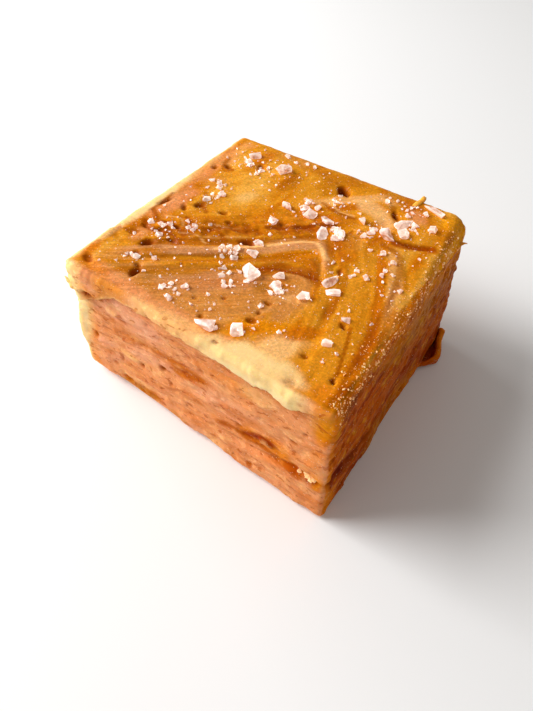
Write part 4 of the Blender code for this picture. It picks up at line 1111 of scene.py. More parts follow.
# %% Node groups for streaks, flakes and grain
def new_group(name, inputs, outputs):
    """A shader node group with its sockets; inputs hold (name, kind, default)."""
    tree = bpy.data.node_groups.new(name, "ShaderNodeTree")
    for socket, kind, default in inputs:
        made = tree.interface.new_socket(socket, in_out="INPUT", socket_type=kind)
        if default is not None:
            made.default_value = default
    for socket, kind in outputs:
        tree.interface.new_socket(socket, in_out="OUTPUT", socket_type=kind)
    return tree, tree.nodes.new("NodeGroupInput"), tree.nodes.new("NodeGroupOutput")


def flow_noise(tree, given, length, width, detail):
    """Noise in the group's flow, stretched by the two inputs that have those names."""
    split = add_node(tree, "ShaderNodeSeparateXYZ")
    tree.links.new(given.outputs["Flow"], split.inputs[0])
    joined = add_node(tree, "ShaderNodeCombineXYZ")
    for number, size in enumerate((length, width)):
        share = math_node(tree, "DIVIDE", split.outputs[number], given.outputs[size])
        tree.links.new(share, joined.inputs[number])
    noise = add_node(tree, "ShaderNodeTexNoise")
    set_inputs(tree, noise, Scale=1.0, Detail=detail, Vector=joined.outputs[0])
    return noise


def streaks_group():
    """Fine lines along a flow vector that is in millimetres."""
    tree, given, result = new_group(
        "Pulled streaks",
        [("Flow", "NodeSocketVector", None), ("Line Width", "NodeSocketFloat", 0.35),
         ("Line Length", "NodeSocketFloat", 7.0)],
        [("Streak", "NodeSocketFloat"), ("Height", "NodeSocketFloat")])
    noise = flow_noise(tree, given, "Line Length", "Line Width", 3.0)
    noise.inputs["Roughness"].default_value = 0.6
    streak = map_range(tree, noise.outputs[0], 0.3, 0.7)
    set_inputs(tree, result, Streak=streak, Height=noise.outputs[0])
    return tree


def flakes_group():
    """Small flakes that a knife tore up, and the gaps between them, along a flow in millimetres."""
    tree, given, result = new_group(
        "Torn flakes",
        [("Flow", "NodeSocketVector", None), ("Flake Width", "NodeSocketFloat", 0.95),
         ("Flake Length", "NodeSocketFloat", 2.0)],
        [("Flake", "NodeSocketFloat"), ("Gap", "NodeSocketFloat"), ("Height", "NodeSocketFloat")])
    noise = flow_noise(tree, given, "Flake Length", "Flake Width", 2.0)
    flake = map_range(tree, noise.outputs[0], 0.600, 0.612)
    gap = map_range(tree, noise.outputs[0], 0.375, 0.363)
    height = math_node(tree, "SUBTRACT", flake, gap)
    set_inputs(tree, result, Flake=flake, Gap=gap, Height=height)
    return tree


def grain_group():
    """Sugar crystals: soft speckle, sharp bright points, and the height of both."""
    tree, given, result = new_group(
        "Sugar grain",
        [("Place", "NodeSocketVector", None), ("Grain Size", "NodeSocketFloat", 0.00022),
         ("Sparkle Amount", "NodeSocketFloat", 0.5)],
        [("Speckle", "NodeSocketFloat"), ("Sparkle", "NodeSocketFloat"), ("Height", "NodeSocketFloat")])
    finer = math_node(tree, "DIVIDE", 1.0, given.outputs["Grain Size"])
    scaled = vector_math(tree, "SCALE", given.outputs["Place"], scale=finer)
    soft = add_node(tree, "ShaderNodeTexNoise")
    set_inputs(tree, soft, Scale=0.5, Detail=4.0, Roughness=0.7, Vector=scaled)
    cells = add_node(tree, "ShaderNodeTexVoronoi", feature="F1")
    set_inputs(tree, cells, Scale=1.0, Vector=scaled)
    chosen = add_node(tree, "ShaderNodeSeparateColor")
    tree.links.new(cells.outputs["Color"], chosen.inputs[0])
    limit = math_node(tree, "SUBTRACT", 1.0, product(tree, given.outputs["Sparkle Amount"], 0.25))
    lucky = math_node(tree, "GREATER_THAN", chosen.outputs[0], limit)
    sparkle = product(tree, lucky, map_range(tree, cells.outputs["Distance"], 0.42, 0.18))
    height = math_node(tree, "ADD", soft.outputs[0], product(tree, sparkle, 0.6))
    set_inputs(tree, result, Speckle=soft.outputs[0], Sparkle=sparkle, Height=height)
    return tree


STREAKS, FLAKES, GRAIN = streaks_group(), flakes_group(), grain_group()
print("groups:", ", ".join(group.name for group in (STREAKS, FLAKES, GRAIN)))

# %% [markdown]
# ## The fudge's finish
#
# The paste lets light in a little way, which softens its shadows and warms them, so the shader has
# some subsurface. Streaks darken and lighten the painted tone, flakes break up the cut sides, and
# grain speckles everything. Caramel is smoother than paste, so its roughness is lower and it has a
# thin coat.

# %% Fudge material
# Tints that multiply the painted tone, and the tone of a painted glint where a crystal catches the light.
STREAK_DARK, STREAK_LIGHT = (0.74, 0.55, 0.36, 1), (1.22, 1.20, 1.14, 1)
GAP_SHADE_TINT, FLAKE_TINT = (0.66, 0.40, 0.22, 1), (1.22, 1.42, 1.55, 1)
SPARKLE_TONE = (1.0, 0.84, 0.62, 1)


def use_group(tree, group, **values):
    """A node that runs the group with those inputs."""
    node = add_node(tree, "ShaderNodeGroup", node_tree=group)
    set_inputs(tree, node, **values)
    return node


def read(tree, name):
    """A node that reads the mesh attribute of that name."""
    return add_node(tree, "ShaderNodeAttribute", attribute_name=name)


def new_material(name):
    """A new material, with its node tree and its shader."""
    made = bpy.data.materials.new(name)
    made.use_nodes = True
    return made, made.node_tree, made.node_tree.nodes["Principled BSDF"]


def overlay(tree, share, colour, tone, tint):
    """The colour with that share of the tinted tone laid over it."""
    return mix_colour(tree, share, colour, mix_colour(tree, 1.0, tone, tint, "MULTIPLY"))


def fudge_material(name, streak_strength, speckle_strength, sparkle_amount):
    """The painted tone with streaks along the flow, flakes on the cuts, and grain over it all."""
    made, tree, shader = new_material(name)
    place = add_node(tree, "ShaderNodeTexCoord").outputs["Object"]
    tone, flow = read(tree, "tone").outputs["Color"], read(tree, "flow").outputs["Vector"]
    caramel, cut = read(tree, "caramel").outputs["Fac"], read(tree, "cut").outputs["Fac"]
    pull = math_node(tree, "MULTIPLY_ADD", read(tree, "pull").outputs["Fac"], 0.85, 0.15)
    streaks = use_group(tree, STREAKS, Flow=flow, Line_Width=0.42, Line_Length=6.0)
    flakes = use_group(tree, FLAKES, Flow=flow)
    grain = use_group(tree, GRAIN, Place=place, Sparkle_Amount=sparkle_amount)

    colour = tone
    softer = product(tree, pull, map_range(tree, cut, 0.0, 1.0, 1.0, 0.45))
    for end, tint in ((0.0, STREAK_DARK), (1.0, STREAK_LIGHT)):
        share = map_range(tree, streaks.outputs["Streak"], 0.5, end, 0.0, streak_strength)
        colour = overlay(tree, product(tree, share, softer), colour, tone, tint)
    # The gaps' darker tint is painted shade between the torn flakes.
    for output, strength, tint in (("Gap", 0.70, GAP_SHADE_TINT), ("Flake", 0.65, FLAKE_TINT)):
        share = product(tree, flakes.outputs[output], cut, strength)
        colour = overlay(tree, share, colour, tone, tint)

    # Pale fudge, which has more blue in its tone, is less speckled, and so are the cuts.
    parts = add_node(tree, "ShaderNodeSeparateColor")
    tree.links.new(tone, parts.inputs[0])
    grainy = map_range(tree, parts.outputs["Blue"], 0.15, 0.28, speckle_strength, 0.25 * speckle_strength)
    quieter = map_range(tree, cut, 0.0, 1.0, 1.0, 0.35)
    speck = map_range(tree, grain.outputs["Speckle"], 0.35, 0.68, -1.0, 1.0)
    brightness = math_node(tree, "ADD", product(tree, speck, grainy, quieter), 1.0)
    colour = vector_math(tree, "SCALE", colour, scale=brightness)
    # The brightest grains are pale sugar with a painted glint laid into the base colour.
    sparkle = product(tree, grain.outputs["Sparkle"], 0.5)

    height = product(tree, streaks.outputs["Height"], pull)
    height = math_node(tree, "ADD", height, grain.outputs["Height"])
    height = math_node(tree, "ADD", height, product(tree, flakes.outputs["Height"], cut, 5.0))
    bump = add_node(tree, "ShaderNodeBump")
    set_inputs(tree, bump, Strength=0.5, Distance=0.00012, Height=height)
    rough = map_range(tree, caramel, 0.0, 1.0, 0.50, 0.34)
    set_inputs(tree, shader,
               Base_Color=mix_colour(tree, sparkle, colour, SPARKLE_TONE),
               Roughness=math_node(tree, "SUBTRACT", rough, product(tree, sparkle, 0.3)),
               Normal=bump.outputs[0],
               Coat_Weight=product(tree, caramel, 0.10), Coat_Roughness=0.15,
               Subsurface_Weight=0.40, Subsurface_Radius=(1.0, 0.5, 0.2), Subsurface_Scale=0.0010,
               Specular_IOR_Level=0.05, Specular_Tint=(1.0, 0.45, 0.12, 1))
    return made


fudge.data.materials.append(fudge_material("swirled fudge", 0.34, 0.18, 0.32))
print("fudge material has", len(fudge.data.materials[0].node_tree.nodes), "nodes")

# %% Hand the fudge over
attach(fudge, "root")
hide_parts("fudge")
print("swirl_fudge stands in the place of the packed node")

# %% [markdown]
# ## The curl at the foot
#
# The knife pushed a little fudge out at the foot of the right side. It is a low curved wall with a
# pocket behind it. Its outline is a closed profile at each station, lofted from back to front.

# %% Loft the curl
# Outer edge, back to front: x, y and the height of its rim.
CURL_EDGE = [(24.6, 23.4, 2.4), (26.8, 23.0, 3.6), (27.8, 22.4, 4.8), (28.2, 20.8, 3.3),
             (29.2, 18.8, 2.9), (29.4, 17.0, 2.3), (28.3, 15.3, 1.6), (26.6, 13.4, 1.3),
             (24.9, 12.0, 1.2)]
CURL_ROOT = 23.6                      # x at which it is rooted inside the block
CURL_THICKNESS = 1.1
CURL_FOOT, CURL_FLOOR = 0.3, 0.8      # heights of its underside and of the pocket's floor


def tube_faces(rings, size):
    """Faces of a closed tube of that many rings, each of that many points."""
    faces = [list(range(size))[::-1], list(range((rings - 1) * size, rings * size))]
    for base in range(0, (rings - 1) * size, size):
        for k in range(size):
            n = (k + 1) % size
            faces.append([base + k, base + n, base + size + n, base + size + k])
    return faces


def curl_surface():
    """Rings of the curl's profile along its edge, as points and faces."""
    rings = []
    half = CURL_THICKNESS / 2
    for x, y, rim in smooth_path(CURL_EDGE, 6):
        profile = [(CURL_ROOT, CURL_FOOT), (x - half, CURL_FOOT), (x - 0.1, CURL_FOOT + 0.2),
                   (x, CURL_FOOT + half), (x + 0.1, rim - half), (x - 0.2, rim - 0.15),
                   (x - half, rim), (x - 1.7 * half, rim - 0.2), (x - 2 * half, rim - half),
                   (x - 2.4 * half, CURL_FLOOR + 0.4), (x - 3.4 * half, CURL_FLOOR),
                   (CURL_ROOT, CURL_FLOOR)]
        profile = [(max(out, CURL_ROOT), level) for out, level in profile]
        closed = smooth_path(profile + profile[:1], 3)[:-1]
        rings.append(np.column_stack([closed[:, 0], np.full(len(closed), y), closed[:, 1]]))
    points = np.vstack(rings)
    points += 0.14 * np.column_stack([smooth_noise(points, (1.2, 1.2, 1.2), 300 + k) for k in range(3)])
    points[:, 2] = np.maximum(points[:, 2], 0.05)
    return points, tube_faces(len(rings), len(rings[0]))


curl_points, curl_faces = curl_surface()
curl_mesh = mesh_from("curl", curl_points, curl_faces)
curl_colour = np.tile(linear("toffee"), (len(curl_points), 1))
# The upper rim is painted honey: a painted highlight where the light catches the curl.
lay(curl_colour, "honey", 0.8 * smoothstep(1.2, 3.2, curl_points[:, 2]))
curl_out = curl_points[:, 0] - np.interp(-curl_points[:, 1], [-y for _, y, _ in CURL_EDGE],
                                         [x for x, _, _ in CURL_EDGE])
# The pocket behind the rim lies in shade and is painted dark: painted shade.
pocket_shade = smoothstep(-0.6, -1.1, curl_out) * smoothstep(3.2, 1.6, curl_points[:, 2])
lay(curl_colour, "deep_caramel", 0.9 * pocket_shade)
store_paint(curl_mesh, curl_colour, curl_points[:, [1, 2, 0]], caramel=0.8, pull=0.6, cut=0.5)
curl = add_object("curl", curl_mesh)
curl.data.materials.append(fudge.data.materials[0])
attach(curl, "root")
print("curl has", len(curl_points), "points")

# %% [markdown]
# ### Shreds
#
# Three shreds of the skin stand up: a small curl on the back edge, a thorn at the torn corner and
# a crumb on the rounded corner. Each is a tapered tube along its own path.

# %% Loft the shreds
# Path of each: x, y, z and half thickness.
SHREDS = [
    [(14.2, 22.4, 28.5, 0.40), (14.7, 23.6, 28.9, 0.60), (15.0, 24.8, 29.1, 0.60),
     (15.2, 25.6, 29.4, 0.50), (15.3, 26.1, 29.7, 0.30)],
    [(-23.0, -25.4, 23.6, 0.60), (-24.6, -25.4, 23.8, 0.50), (-26.0, -25.1, 24.0, 0.28),
     (-26.9, -25.0, 24.2, 0.06)],
    [(23.6, 22.0, 25.8, 0.60), (25.2, 22.4, 25.9, 0.40), (26.1, 22.6, 26.2, 0.15)],
]
SHRED_SIDES = 12


def shred_surface(stations, seed):
    """A tapered tube along the stations, as points and faces."""
    path = smooth_path(stations, 5)
    steps = np.gradient(path[:, :3], axis=0)
    rings = []
    for (*place, half), step in zip(path, steps):
        level = np.cross(step, (0, 0, 1))
        level /= np.linalg.norm(level)
        up = np.cross(level, step) / np.linalg.norm(step)
        angle = np.linspace(0, 2 * math.pi, SHRED_SIDES, endpoint=False)[:, None]
        rings.append(np.array(place) + half * (level * np.cos(angle) + 0.7 * up * np.sin(angle)))
    points = np.vstack(rings)
    points += 0.16 * np.column_stack([smooth_noise(points, (0.7, 0.7, 0.7), seed + k) for k in range(3)])
    return points, tube_faces(len(rings), SHRED_SIDES)


shred_points, shred_faces = [], []
for number, stations in enumerate(SHREDS):
    points, faces = shred_surface(stations, 310 + 3 * number)
    start = sum(map(len, shred_points))
    shred_points.append(points)
    shred_faces += [[start + k for k in face] for face in faces]
shred_points = np.vstack(shred_points)
shred_mesh = mesh_from("shreds", shred_points, shred_faces)
shred_colour = np.tile(linear("pale_gold"), (len(shred_points), 1))
lay(shred_colour, "cream", smoothstep(0, -10, shred_points[:, 0]))
lay(shred_colour, "amber", 0.5 * smoothstep(0.1, 0.7, smooth_noise(shred_points, (0.8, 0.8, 0.8), 320)))
store_paint(shred_mesh, shred_colour, shred_points, caramel=0.2, pull=0.4, cut=0.2)
shreds = add_object("shreds", shred_mesh)
shreds.data.materials.append(fudge.data.materials[0])
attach(shreds, "root")
print("shreds have", len(shred_points), "points")

# %% [markdown]
# ## Where the salt lies
#
# The largest crystals have their own places. The smaller ones fell in drifts round them, and dust
# lies everywhere. Each grain is seated with a ray cast straight down on the finished fudge, and
# leans with the surface under it.

# %% Seats for the salt
# x, y, length, width, turn in degrees.
CRYSTALS = [
    (-10.8, 17.7, 3.1, 2.6, 60), (-18.2, 18.7, 2.5, 1.8, 0), (18.4, 23.8, 4.8, 1.0, -48),
    (15.7, 16.6, 3.4, 1.6, 80), (16.6, 14.2, 2.6, 1.9, 70), (14.8, 12.1, 2.9, 2.5, 30),
    (20.4, 18.3, 1.6, 1.4, 0), (0.8, 9.1, 2.3, 2.0, -20), (4.2, 9.3, 2.9, 1.3, -60),
    (-3.9, 8.6, 2.4, 1.3, 70), (5.3, 5.8, 2.6, 1.8, 80), (12.9, -4.1, 3.2, 1.5, -50),
    (14.5, -6.0, 2.4, 1.3, -70), (1.2, -10.0, 4.0, 2.2, -62), (-2.1, -2.9, 1.9, 1.4, -50),
    (-1.5, -5.5, 1.9, 1.4, -45), (5.5, -8.0, 1.8, 1.5, 0), (11.3, -9.8, 2.1, 1.7, 20),
    (2.5, -22.9, 3.3, 2.1, 75), (7.2, -21.3, 2.3, 2.0, -30), (19.3, -15.9, 1.6, 1.3, 80),
    (18.8, -10.0, 1.7, 1.4, -20), (-3.7, 3.8, 2.0, 1.4, 75), (9.2, 13.1, 1.9, 1.2, -35),
]
# Centre x, y, spread, how many, mean size.
DRIFTS = [
    (-18.2, 15.6, 1.2, 4, 1.3), (-13.0, 15.8, 2.4, 4, 1.1), (-18.3, 6.5, 1.6, 6, 1.2),
    (-16.8, 2.6, 1.5, 5, 1.1), (-0.8, 11.2, 1.7, 8, 1.1), (3.0, 15.0, 2.0, 6, 0.9),
    (7.8, 7.3, 1.6, 8, 1.4), (11.3, 11.6, 1.5, 6, 1.1), (12.5, 21.5, 2.8, 8, 0.9),
    (17.0, 17.0, 2.2, 8, 1.1), (17.2, 7.0, 1.8, 4, 1.0), (14.5, -1.0, 2.2, 5, 1.0),
    (-13.6, -6.0, 2.0, 6, 1.2), (-17.6, -9.8, 2.0, 6, 1.1), (-5.0, -7.6, 1.6, 8, 1.0),
    (-1.2, -12.8, 2.2, 9, 1.0), (7.4, -10.8, 1.4, 5, 1.2), (-6.2, -20.0, 2.0, 8, 1.0),
    (2.6, -17.0, 5.5, 10, 0.9), (-15.5, -18.0, 2.8, 5, 1.0), (-8.0, 22.0, 6.5, 6, 0.9),
    (20.5, 1.0, 2.4, 5, 0.9),
]
SEAM_SALT = (24.2, 1.9, 9, 0.9)    # x, spread, how many and mean size of those in the front seam
SMALLEST_SHARE, LARGEST_SHARE = 0.6, 1.3    # a drift's smallest and largest grain to its mean size
SALT_LIMIT = 22.8    # how far from the block's middle a small grain can lie along x or y
CRUMB_COUNT, CRUMB_SMALLEST, CRUMB_LARGEST = 760, 0.14, 0.50
CRUMB_LINE_X, CRUMB_LINE_Y = (26.4, 24.8), (-25.0, 22.0)    # from the front to the back
CRUMB_SPREAD, CRUMB_DROP, CRUMB_DROP_SPREAD = 1.5, -0.6, 1.6
tree_of_fudge = BVHTree.FromPolygons([v.co[:] for v in block_mesh.vertices],
                                     [p.vertices[:] for p in block_mesh.polygons])


def seat(x, y, sink):
    """The place on the top under x, y (in millimetres), that far below it, and its normal."""
    above = Vector((x + offset[0], y + offset[1], 2 * HEIGHT)) * MM
    place, normal, _, _ = tree_of_fudge.ray_cast(above, Vector((0, 0, -1)))
    return place - normal * sink * MM, normal


def salt_list(draw):
    """Every grain on the top as x, y, length, width and turn in degrees."""
    grains = list(CRYSTALS)
    for x, y, spread, count, size in DRIFTS:
        for _ in range(count):
            near = np.clip(draw.normal((x, y), spread * 0.6), -SALT_LIMIT, SALT_LIMIT)
            length = size * draw.uniform(SMALLEST_SHARE, LARGEST_SHARE)
            grains.append((*near, length, length * draw.uniform(0.65, 1.0), draw.uniform(0, 180)))
    return grains


def crystal_seats(draw):
    """Each crystal's place, rotation and size: those on the top, then those in the seam."""
    seats = []
    for x, y, length, width, turn in salt_list(draw):
        thickness = min(width * draw.uniform(0.6, 0.85), 1.5)
        place, normal = seat(x, y, -0.2 * thickness)
        lean = normal.to_track_quat("Z", "Y").to_matrix().to_4x4()
        tilt = Matrix.Rotation(draw.uniform(-0.35, 0.35), 4, "X")
        spin = Matrix.Rotation(math.radians(turn), 4, "Z") @ tilt
        seats.append((place, (lean @ spin).to_euler(), np.array([length, width, thickness]) * MM))
    x, spread, count, size = SEAM_SALT
    for _ in range(count):
        run = x + draw.uniform(-spread, spread)
        level = seam_height(SEAM_CORNER - run) + draw.uniform(-0.3, 0.3)
        ahead = Vector((run + offset[0], -2 * SIDES[1], level)) * MM
        place, _, _, _ = tree_of_fudge.ray_cast(ahead, Vector((0, 1, 0)))
        spin = Matrix.Rotation(draw.uniform(0, math.pi), 4, Vector((1, 1, 1)).normalized())
        grain = size * draw.uniform(SMALLEST_SHARE, LARGEST_SHARE) * np.array([1, 0.8, 0.8])
        seats.append((place, spin.to_euler(), grain * MM))
    return seats


def crumb_seats(draw):
    """Places on the fudge near the top's right edge, where the knife left crumbs."""
    found = []
    for _ in range(CRUMB_COUNT):
        share = draw.uniform() ** 1.3
        x = np.interp(share, (0, 1), CRUMB_LINE_X) + draw.normal(0, CRUMB_SPREAD)
        y = np.interp(share, (0, 1), CRUMB_LINE_Y)
        z = HEIGHT + draw.normal(CRUMB_DROP, CRUMB_DROP_SPREAD)
        near = Vector((x + offset[0], y + offset[1], z)) * MM
        place, _, _, _ = tree_of_fudge.find_nearest(near)
        size = CRUMB_SMALLEST + (CRUMB_LARGEST - CRUMB_SMALLEST) * draw.uniform() ** 3
        turn = draw.uniform(0, 6, 3)
        sides = size * MM * draw.uniform(0.5, 1.0, 3)
        found.append((place, turn, sides, draw.uniform()))
    return found


seats = crystal_seats(np.random.default_rng(11))
clears = np.random.default_rng(13).uniform(0, 1, len(seats)) ** 1.5
print(len(seats), "crystals, the longest", max(CRYSTALS, key=lambda c: c[2])[2], "mm")

# %% [markdown]
# ## Crystals by Geometry Nodes
#
# One tree makes all the salt. It goes through its points one at a time, in a For Each zone, and
# gives each of them its own crystal: a few random points on a boxy egg, wrapped in their convex
# hull, which is a solid with flat facets like a chipped crystal. The points carry a size and a
# rotation. Instances are realized at the end, so that one plain mesh comes out.

# %% The crystal tree
def named(tree, name, kind):
    """The points' attribute of that name."""
    node = add_node(tree, "GeometryNodeInputNamedAttribute", data_type=kind)
    node.inputs["Name"].default_value = name
    return node.outputs["Attribute"]


def new_tree(name, inputs):
    """A Geometry Nodes tree with a geometry on each side and the named inputs."""
    tree = bpy.data.node_groups.new(name, "GeometryNodeTree")
    tree.interface.new_socket("Geometry", in_out="INPUT", socket_type="NodeSocketGeometry")
    for socket, kind, default in inputs:
        made = tree.interface.new_socket(socket, in_out="INPUT", socket_type=kind)
        if default is not None:
            made.default_value = default
    tree.interface.new_socket("Geometry", in_out="OUTPUT", socket_type="NodeSocketGeometry")
    return tree, tree.nodes.new("NodeGroupInput"), tree.nodes.new("NodeGroupOutput")


def hull_crystal(tree, corners, seed):
    """A crystal one unit long each way: the hull of random points on a boxy egg."""
    draw = add_node(tree, "FunctionNodeRandomValue", data_type="FLOAT_VECTOR")
    draw.inputs[0].default_value = (-1, -1, -1)
    draw.inputs[1].default_value = (1, 1, 1)
    tree.links.new(seed, draw.inputs["Seed"])
    squared = vector_math(tree, "MULTIPLY", draw.outputs[0], draw.outputs[0])
    norm = math_node(tree, "POWER", vector_math(tree, "DOT_PRODUCT", squared, squared), 0.25)
    points = add_node(tree, "GeometryNodePoints")
    tree.links.new(corners, points.inputs["Count"])
    outward = math_node(tree, "DIVIDE", 0.54, norm)
    placed = vector_math(tree, "SCALE", draw.outputs[0], scale=outward)
    tree.links.new(placed, points.inputs["Position"])
    hull = add_node(tree, "GeometryNodeConvexHull")
    tree.links.new(points.outputs[0], hull.inputs[0])
    keep = add_node(tree, "GeometryNodeStoreNamedAttribute", data_type="FLOAT_VECTOR", domain="POINT")
    keep.inputs["Name"].default_value = "inside"
    tree.links.new(hull.outputs[0], keep.inputs["Geometry"])
    tree.links.new(add_node(tree, "GeometryNodeInputPosition").outputs[0], keep.inputs["Value"])
    return keep.outputs[0]


def crystal_tree():
    """A crystal on every point, sized and turned by the point's own attributes."""
    tree, given, result = new_tree("Salt crystals", [
        ("Corners", "NodeSocketInt", 14), ("Seed", "NodeSocketInt", 1),
        ("Material", "NodeSocketMaterial", None)])
    start = add_node(tree, "GeometryNodeForeachGeometryElementInput")
    end = add_node(tree, "GeometryNodeForeachGeometryElementOutput", domain="POINT")
    start.pair_with_output(end)
    tree.links.new(given.outputs["Geometry"], start.inputs["Geometry"])
    seed = math_node(tree, "ADD", start.outputs["Index"], given.outputs["Seed"])
    put = add_node(tree, "GeometryNodeInstanceOnPoints")
    tree.links.new(start.outputs["Element"], put.inputs["Points"])
    tree.links.new(hull_crystal(tree, given.outputs["Corners"], seed), put.inputs["Instance"])
    turn = add_node(tree, "FunctionNodeEulerToRotation")
    tree.links.new(named(tree, "turn", "FLOAT_VECTOR"), turn.inputs[0])
    tree.links.new(turn.outputs[0], put.inputs["Rotation"])
    tree.links.new(named(tree, "size", "FLOAT_VECTOR"), put.inputs["Scale"])
    tree.links.new(put.outputs[0], end.inputs["Geometry"])
    real = add_node(tree, "GeometryNodeRealizeInstances")
    tree.links.new(end.outputs[2], real.inputs[0])
    flat = add_node(tree, "GeometryNodeSetShadeSmooth")
    flat.inputs["Shade Smooth"].default_value = False
    tree.links.new(real.outputs[0], flat.inputs["Geometry"])
    finish = add_node(tree, "GeometryNodeSetMaterial")
    tree.links.new(flat.outputs[0], finish.inputs["Geometry"])
    tree.links.new(given.outputs["Material"], finish.inputs["Material"])
    tree.links.new(finish.outputs[0], result.inputs[0])
    return tree


CRYSTAL_TREE = crystal_tree()
print("crystal tree has", len(CRYSTAL_TREE.nodes), "nodes")

# %% [markdown]
# ## Salt
#
# Coarse salt is clear, but its facets and flaws throw back so much light that its rim looks white,
# and the fudge shows through only at its heart, which is painted with the fudge's tint. Each crystal
# keeps a vector from its own middle, whose length is the mask for that tint, and a clearness of its
# own. A faint emission, a painted glow, stands in for the light that wanders inside it and comes out.

# %% Salt material and pieces
def salt_material():
    """Salt with a milky rim, a heart painted with the tint of the fudge, and a painted glow."""
    made, tree, shader = new_material("coarse salt")
    place = add_node(tree, "ShaderNodeTexCoord").outputs["Object"]
    cloud = add_node(tree, "ShaderNodeTexNoise")
    set_inputs(tree, cloud, Scale=1500.0, Vector=place)
    apart = vector_math(tree, "LENGTH", read(tree, "inside").outputs["Vector"])
    heart = map_range(tree, apart, 0.68, 0.46)
    cloudy = map_range(tree, cloud.outputs[0], 0.35, 0.65, 0.3, 1.0)
    clearness = map_range(tree, read(tree, "clear").outputs["Fac"], 0.0, 1.0, 0.50, 1.0)
    share = product(tree, heart, cloudy, clearness)
    set_inputs(tree, shader,
               # The heart's tint is the fudge seen through the salt, painted; the emission is a painted
               # glow.
               Base_Color=mix_colour(tree, share, (1.0, 0.97, 0.93, 1), (0.85, 0.50, 0.32, 1)),
               Emission_Color=mix_colour(tree, share, (1.0, 0.94, 0.87, 1), (0.10, 0.05, 0.03, 1)),
               Emission_Strength=0.35, Roughness=0.2, IOR=1.54, Transmission_Weight=0.55)
    return made


def grow(name, places, turns, sizes, clears, tree, material, **settings):
    """Runs a Geometry Nodes tree on points with those attributes, and returns a plain mesh."""
    mesh = bpy.data.meshes.new(name)
    mesh.from_pydata([tuple(place) for place in places], [], [])
    store(mesh, "turn", "FLOAT_VECTOR", turns)
    store(mesh, "size", "FLOAT_VECTOR", sizes)
    store(mesh, "clear", "FLOAT", clears)
    seed_object = add_object(name, mesh)
    modifier = seed_object.modifiers.new("Grow", "NODES")
    modifier.node_group = tree
    for socket in tree.interface.items_tree:
        if socket.in_out == "INPUT" and socket.name in settings:
            modifier[socket.identifier] = settings[socket.name]
        if socket.in_out == "INPUT" and socket.name == "Material":
            modifier[socket.identifier] = material
    graph = bpy.context.evaluated_depsgraph_get()
    grown = bpy.data.meshes.new_from_object(seed_object.evaluated_get(graph))
    grown.name = name
    bpy.data.objects.remove(seed_object)
    bpy.data.meshes.remove(mesh)
    made = add_object(name, grown)
    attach(made, "root")
    grown.calc_loop_triangles()
    print(name, "has", len(places), "grains and", len(grown.loop_triangles), "triangles")
    return made


SALT = salt_material()
on_top = len(seats) - SEAM_SALT[2]
places, turns, sizes = zip(*seats[:on_top])
grow("salt_crystals", places, turns, sizes, clears[:on_top], CRYSTAL_TREE, SALT, Corners=14, Seed=3)

# %% [markdown]
# ### Salt and crumbs in caramel
#
# The crystals in the seam lie under a film of caramel, and so take its colour. The crumbs that the
# knife left along the right edge are fudge, and look the same from here.

# %% Salt and crumbs in caramel
def coated_material():
    """Salt or a crumb under caramel, from pale to amber by its clearness, with a painted glow."""
    made, tree, shader = new_material("coated in caramel")
    clear = read(tree, "clear").outputs["Fac"]
    set_inputs(tree, shader,
               Base_Color=mix_colour(tree, clear, (1.0, 0.66, 0.32, 1), (0.92, 0.36, 0.07, 1)),
               # The emission is a painted glow that brightens the grains in the shade.
               Emission_Color=(1.0, 0.60, 0.28, 1), Emission_Strength=0.18, Roughness=0.3,
               Subsurface_Weight=0.3, Subsurface_Radius=(1.0, 0.6, 0.3), Subsurface_Scale=0.0006)
    return made


COATED = coated_material()
places, turns, sizes = zip(*seats[on_top:])
grow("seam_salt", places, turns, sizes, 0.4 * clears[on_top:], CRYSTAL_TREE, COATED, Corners=14, Seed=3)
places, turns, sizes, clears = zip(*crumb_seats(np.random.default_rng(14)))
grow("edge_crumbs", places, turns, sizes, clears, CRYSTAL_TREE, COATED, Corners=8, Seed=7)

# %% [markdown]
# ## Salt dust
#
# Between the crystals lies dust of the same salt, thickest on the top. A scatter of random places
# is seated like the crystals; most of it stays under a third of a millimetre.

# %% Scatter the dust
DUST_COUNT = 1100
DUST_SMALLEST, DUST_LARGEST = 0.12, 0.75


def dust_seats(draw):
    """Half of the dust lies anywhere, and half of it round the drifts."""
    spread = draw.uniform(-SALT_LIMIT, SALT_LIMIT, (DUST_COUNT // 2, 2))
    chosen = np.array(DRIFTS)[draw.integers(0, len(DRIFTS), DUST_COUNT - len(spread))]
    gathered = draw.normal(chosen[:, :2], 0.9 * chosen[:, 2:3])
    found = []
    for x, y in np.clip(np.vstack([spread, gathered]), -SALT_LIMIT, SALT_LIMIT):
        size = DUST_SMALLEST + (DUST_LARGEST - DUST_SMALLEST) * draw.uniform() ** 4
        place, _ = seat(x, y, -0.1 * size)
        turn = draw.uniform(0, 6, 3)
        sides = size * MM * draw.uniform(0.6, 1.0, 3)
        found.append((place, turn, sides, draw.uniform(0, 0.5)))
    return found


places, turns, sizes, clears = zip(*dust_seats(np.random.default_rng(12)))
grow("salt_dust", places, turns, sizes, clears, CRYSTAL_TREE, SALT, Corners=8, Seed=5)

# %% [markdown]
# ## Floor, light and camera
#
# A plain pale floor, one large soft light from the left, and an even sky. The right side stays in
# the shade, which shows how dark its caramel is.

# %% Stage
FLOOR_REACH = 3.0    # metres from its middle to each side


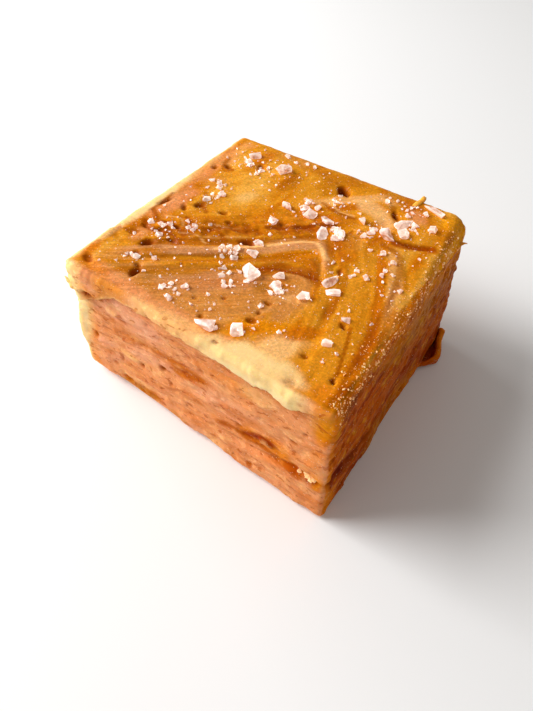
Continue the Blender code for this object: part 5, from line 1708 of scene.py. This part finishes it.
def make_floor():
    """A wide square of matt paper."""
    mesh = bpy.data.meshes.new("floor")
    corners = [(x * FLOOR_REACH, y * FLOOR_REACH, 0) for x, y in ((-1, -1), (1, -1), (1, 1), (-1, 1))]
    mesh.from_pydata(corners, [], [(0, 1, 2, 3)])
    floor = add_object("floor", mesh)
    made, tree, shader = new_material("floor paper")
    set_inputs(tree, shader, Base_Color=(0.9, 0.9, 0.9, 1), Roughness=0.9, Specular_IOR_Level=0.1)
    mesh.materials.append(made)


def make_light(name, place, power, size):
    """A soft square light that shines on the fudge from that place."""
    light = bpy.data.lights.new(name, "AREA")
    light.energy = power
    light.size = size
    made = add_object(name, light)
    made.location = place
    made.rotation_euler = Vector(place).to_track_quat("Z", "Y").to_euler()


def make_camera():
    """A short lens close above the front right corner."""
    azimuth, elevation, roll = math.radians(32.762), math.radians(49.449), math.radians(2.737)
    target = Vector((6.585, -12.151, 14.437)) + Vector(offset)
    distance = 103.49
    back = Vector((math.sin(azimuth) * math.cos(elevation), -math.cos(azimuth) * math.cos(elevation),
                   math.sin(elevation)))
    level = Vector((0, 0, 1)).cross(back).normalized()
    upright = back.cross(level)
    right = level * math.cos(roll) + upright * math.sin(roll)
    up = -level * math.sin(roll) + upright * math.cos(roll)
    place = (target + back * distance) * MM
    camera = bpy.data.cameras.new("camera")
    camera.lens = 30
    camera.sensor_width = 36
    camera.clip_start = 0.001
    made = add_object("camera", camera)
    made.matrix_world = Matrix(((right.x, up.x, back.x, place.x), (right.y, up.y, back.y, place.y),
                                (right.z, up.z, back.z, place.z), (0, 0, 0, 1)))
    bpy.context.scene.camera = made


def make_sky(strength):
    """One warm white all round."""
    world = bpy.data.worlds.new("even sky")
    world.use_nodes = True
    background = world.node_tree.nodes["Background"]
    background.inputs["Color"].default_value = (1.0, 0.96, 0.91, 1)
    background.inputs["Strength"].default_value = strength
    bpy.context.scene.world = world


make_floor()
make_light("window", (-0.45, -0.18, 0.38), 4.6, 0.35)
make_light("low window", (-0.5, 0.05, 0.1), 1.6, 0.25)
make_sky(0.32)
make_camera()
bpy.context.scene.view_settings.view_transform = "Standard"
print("camera stands", round(bpy.context.scene.camera.location.length, 3), "m away")
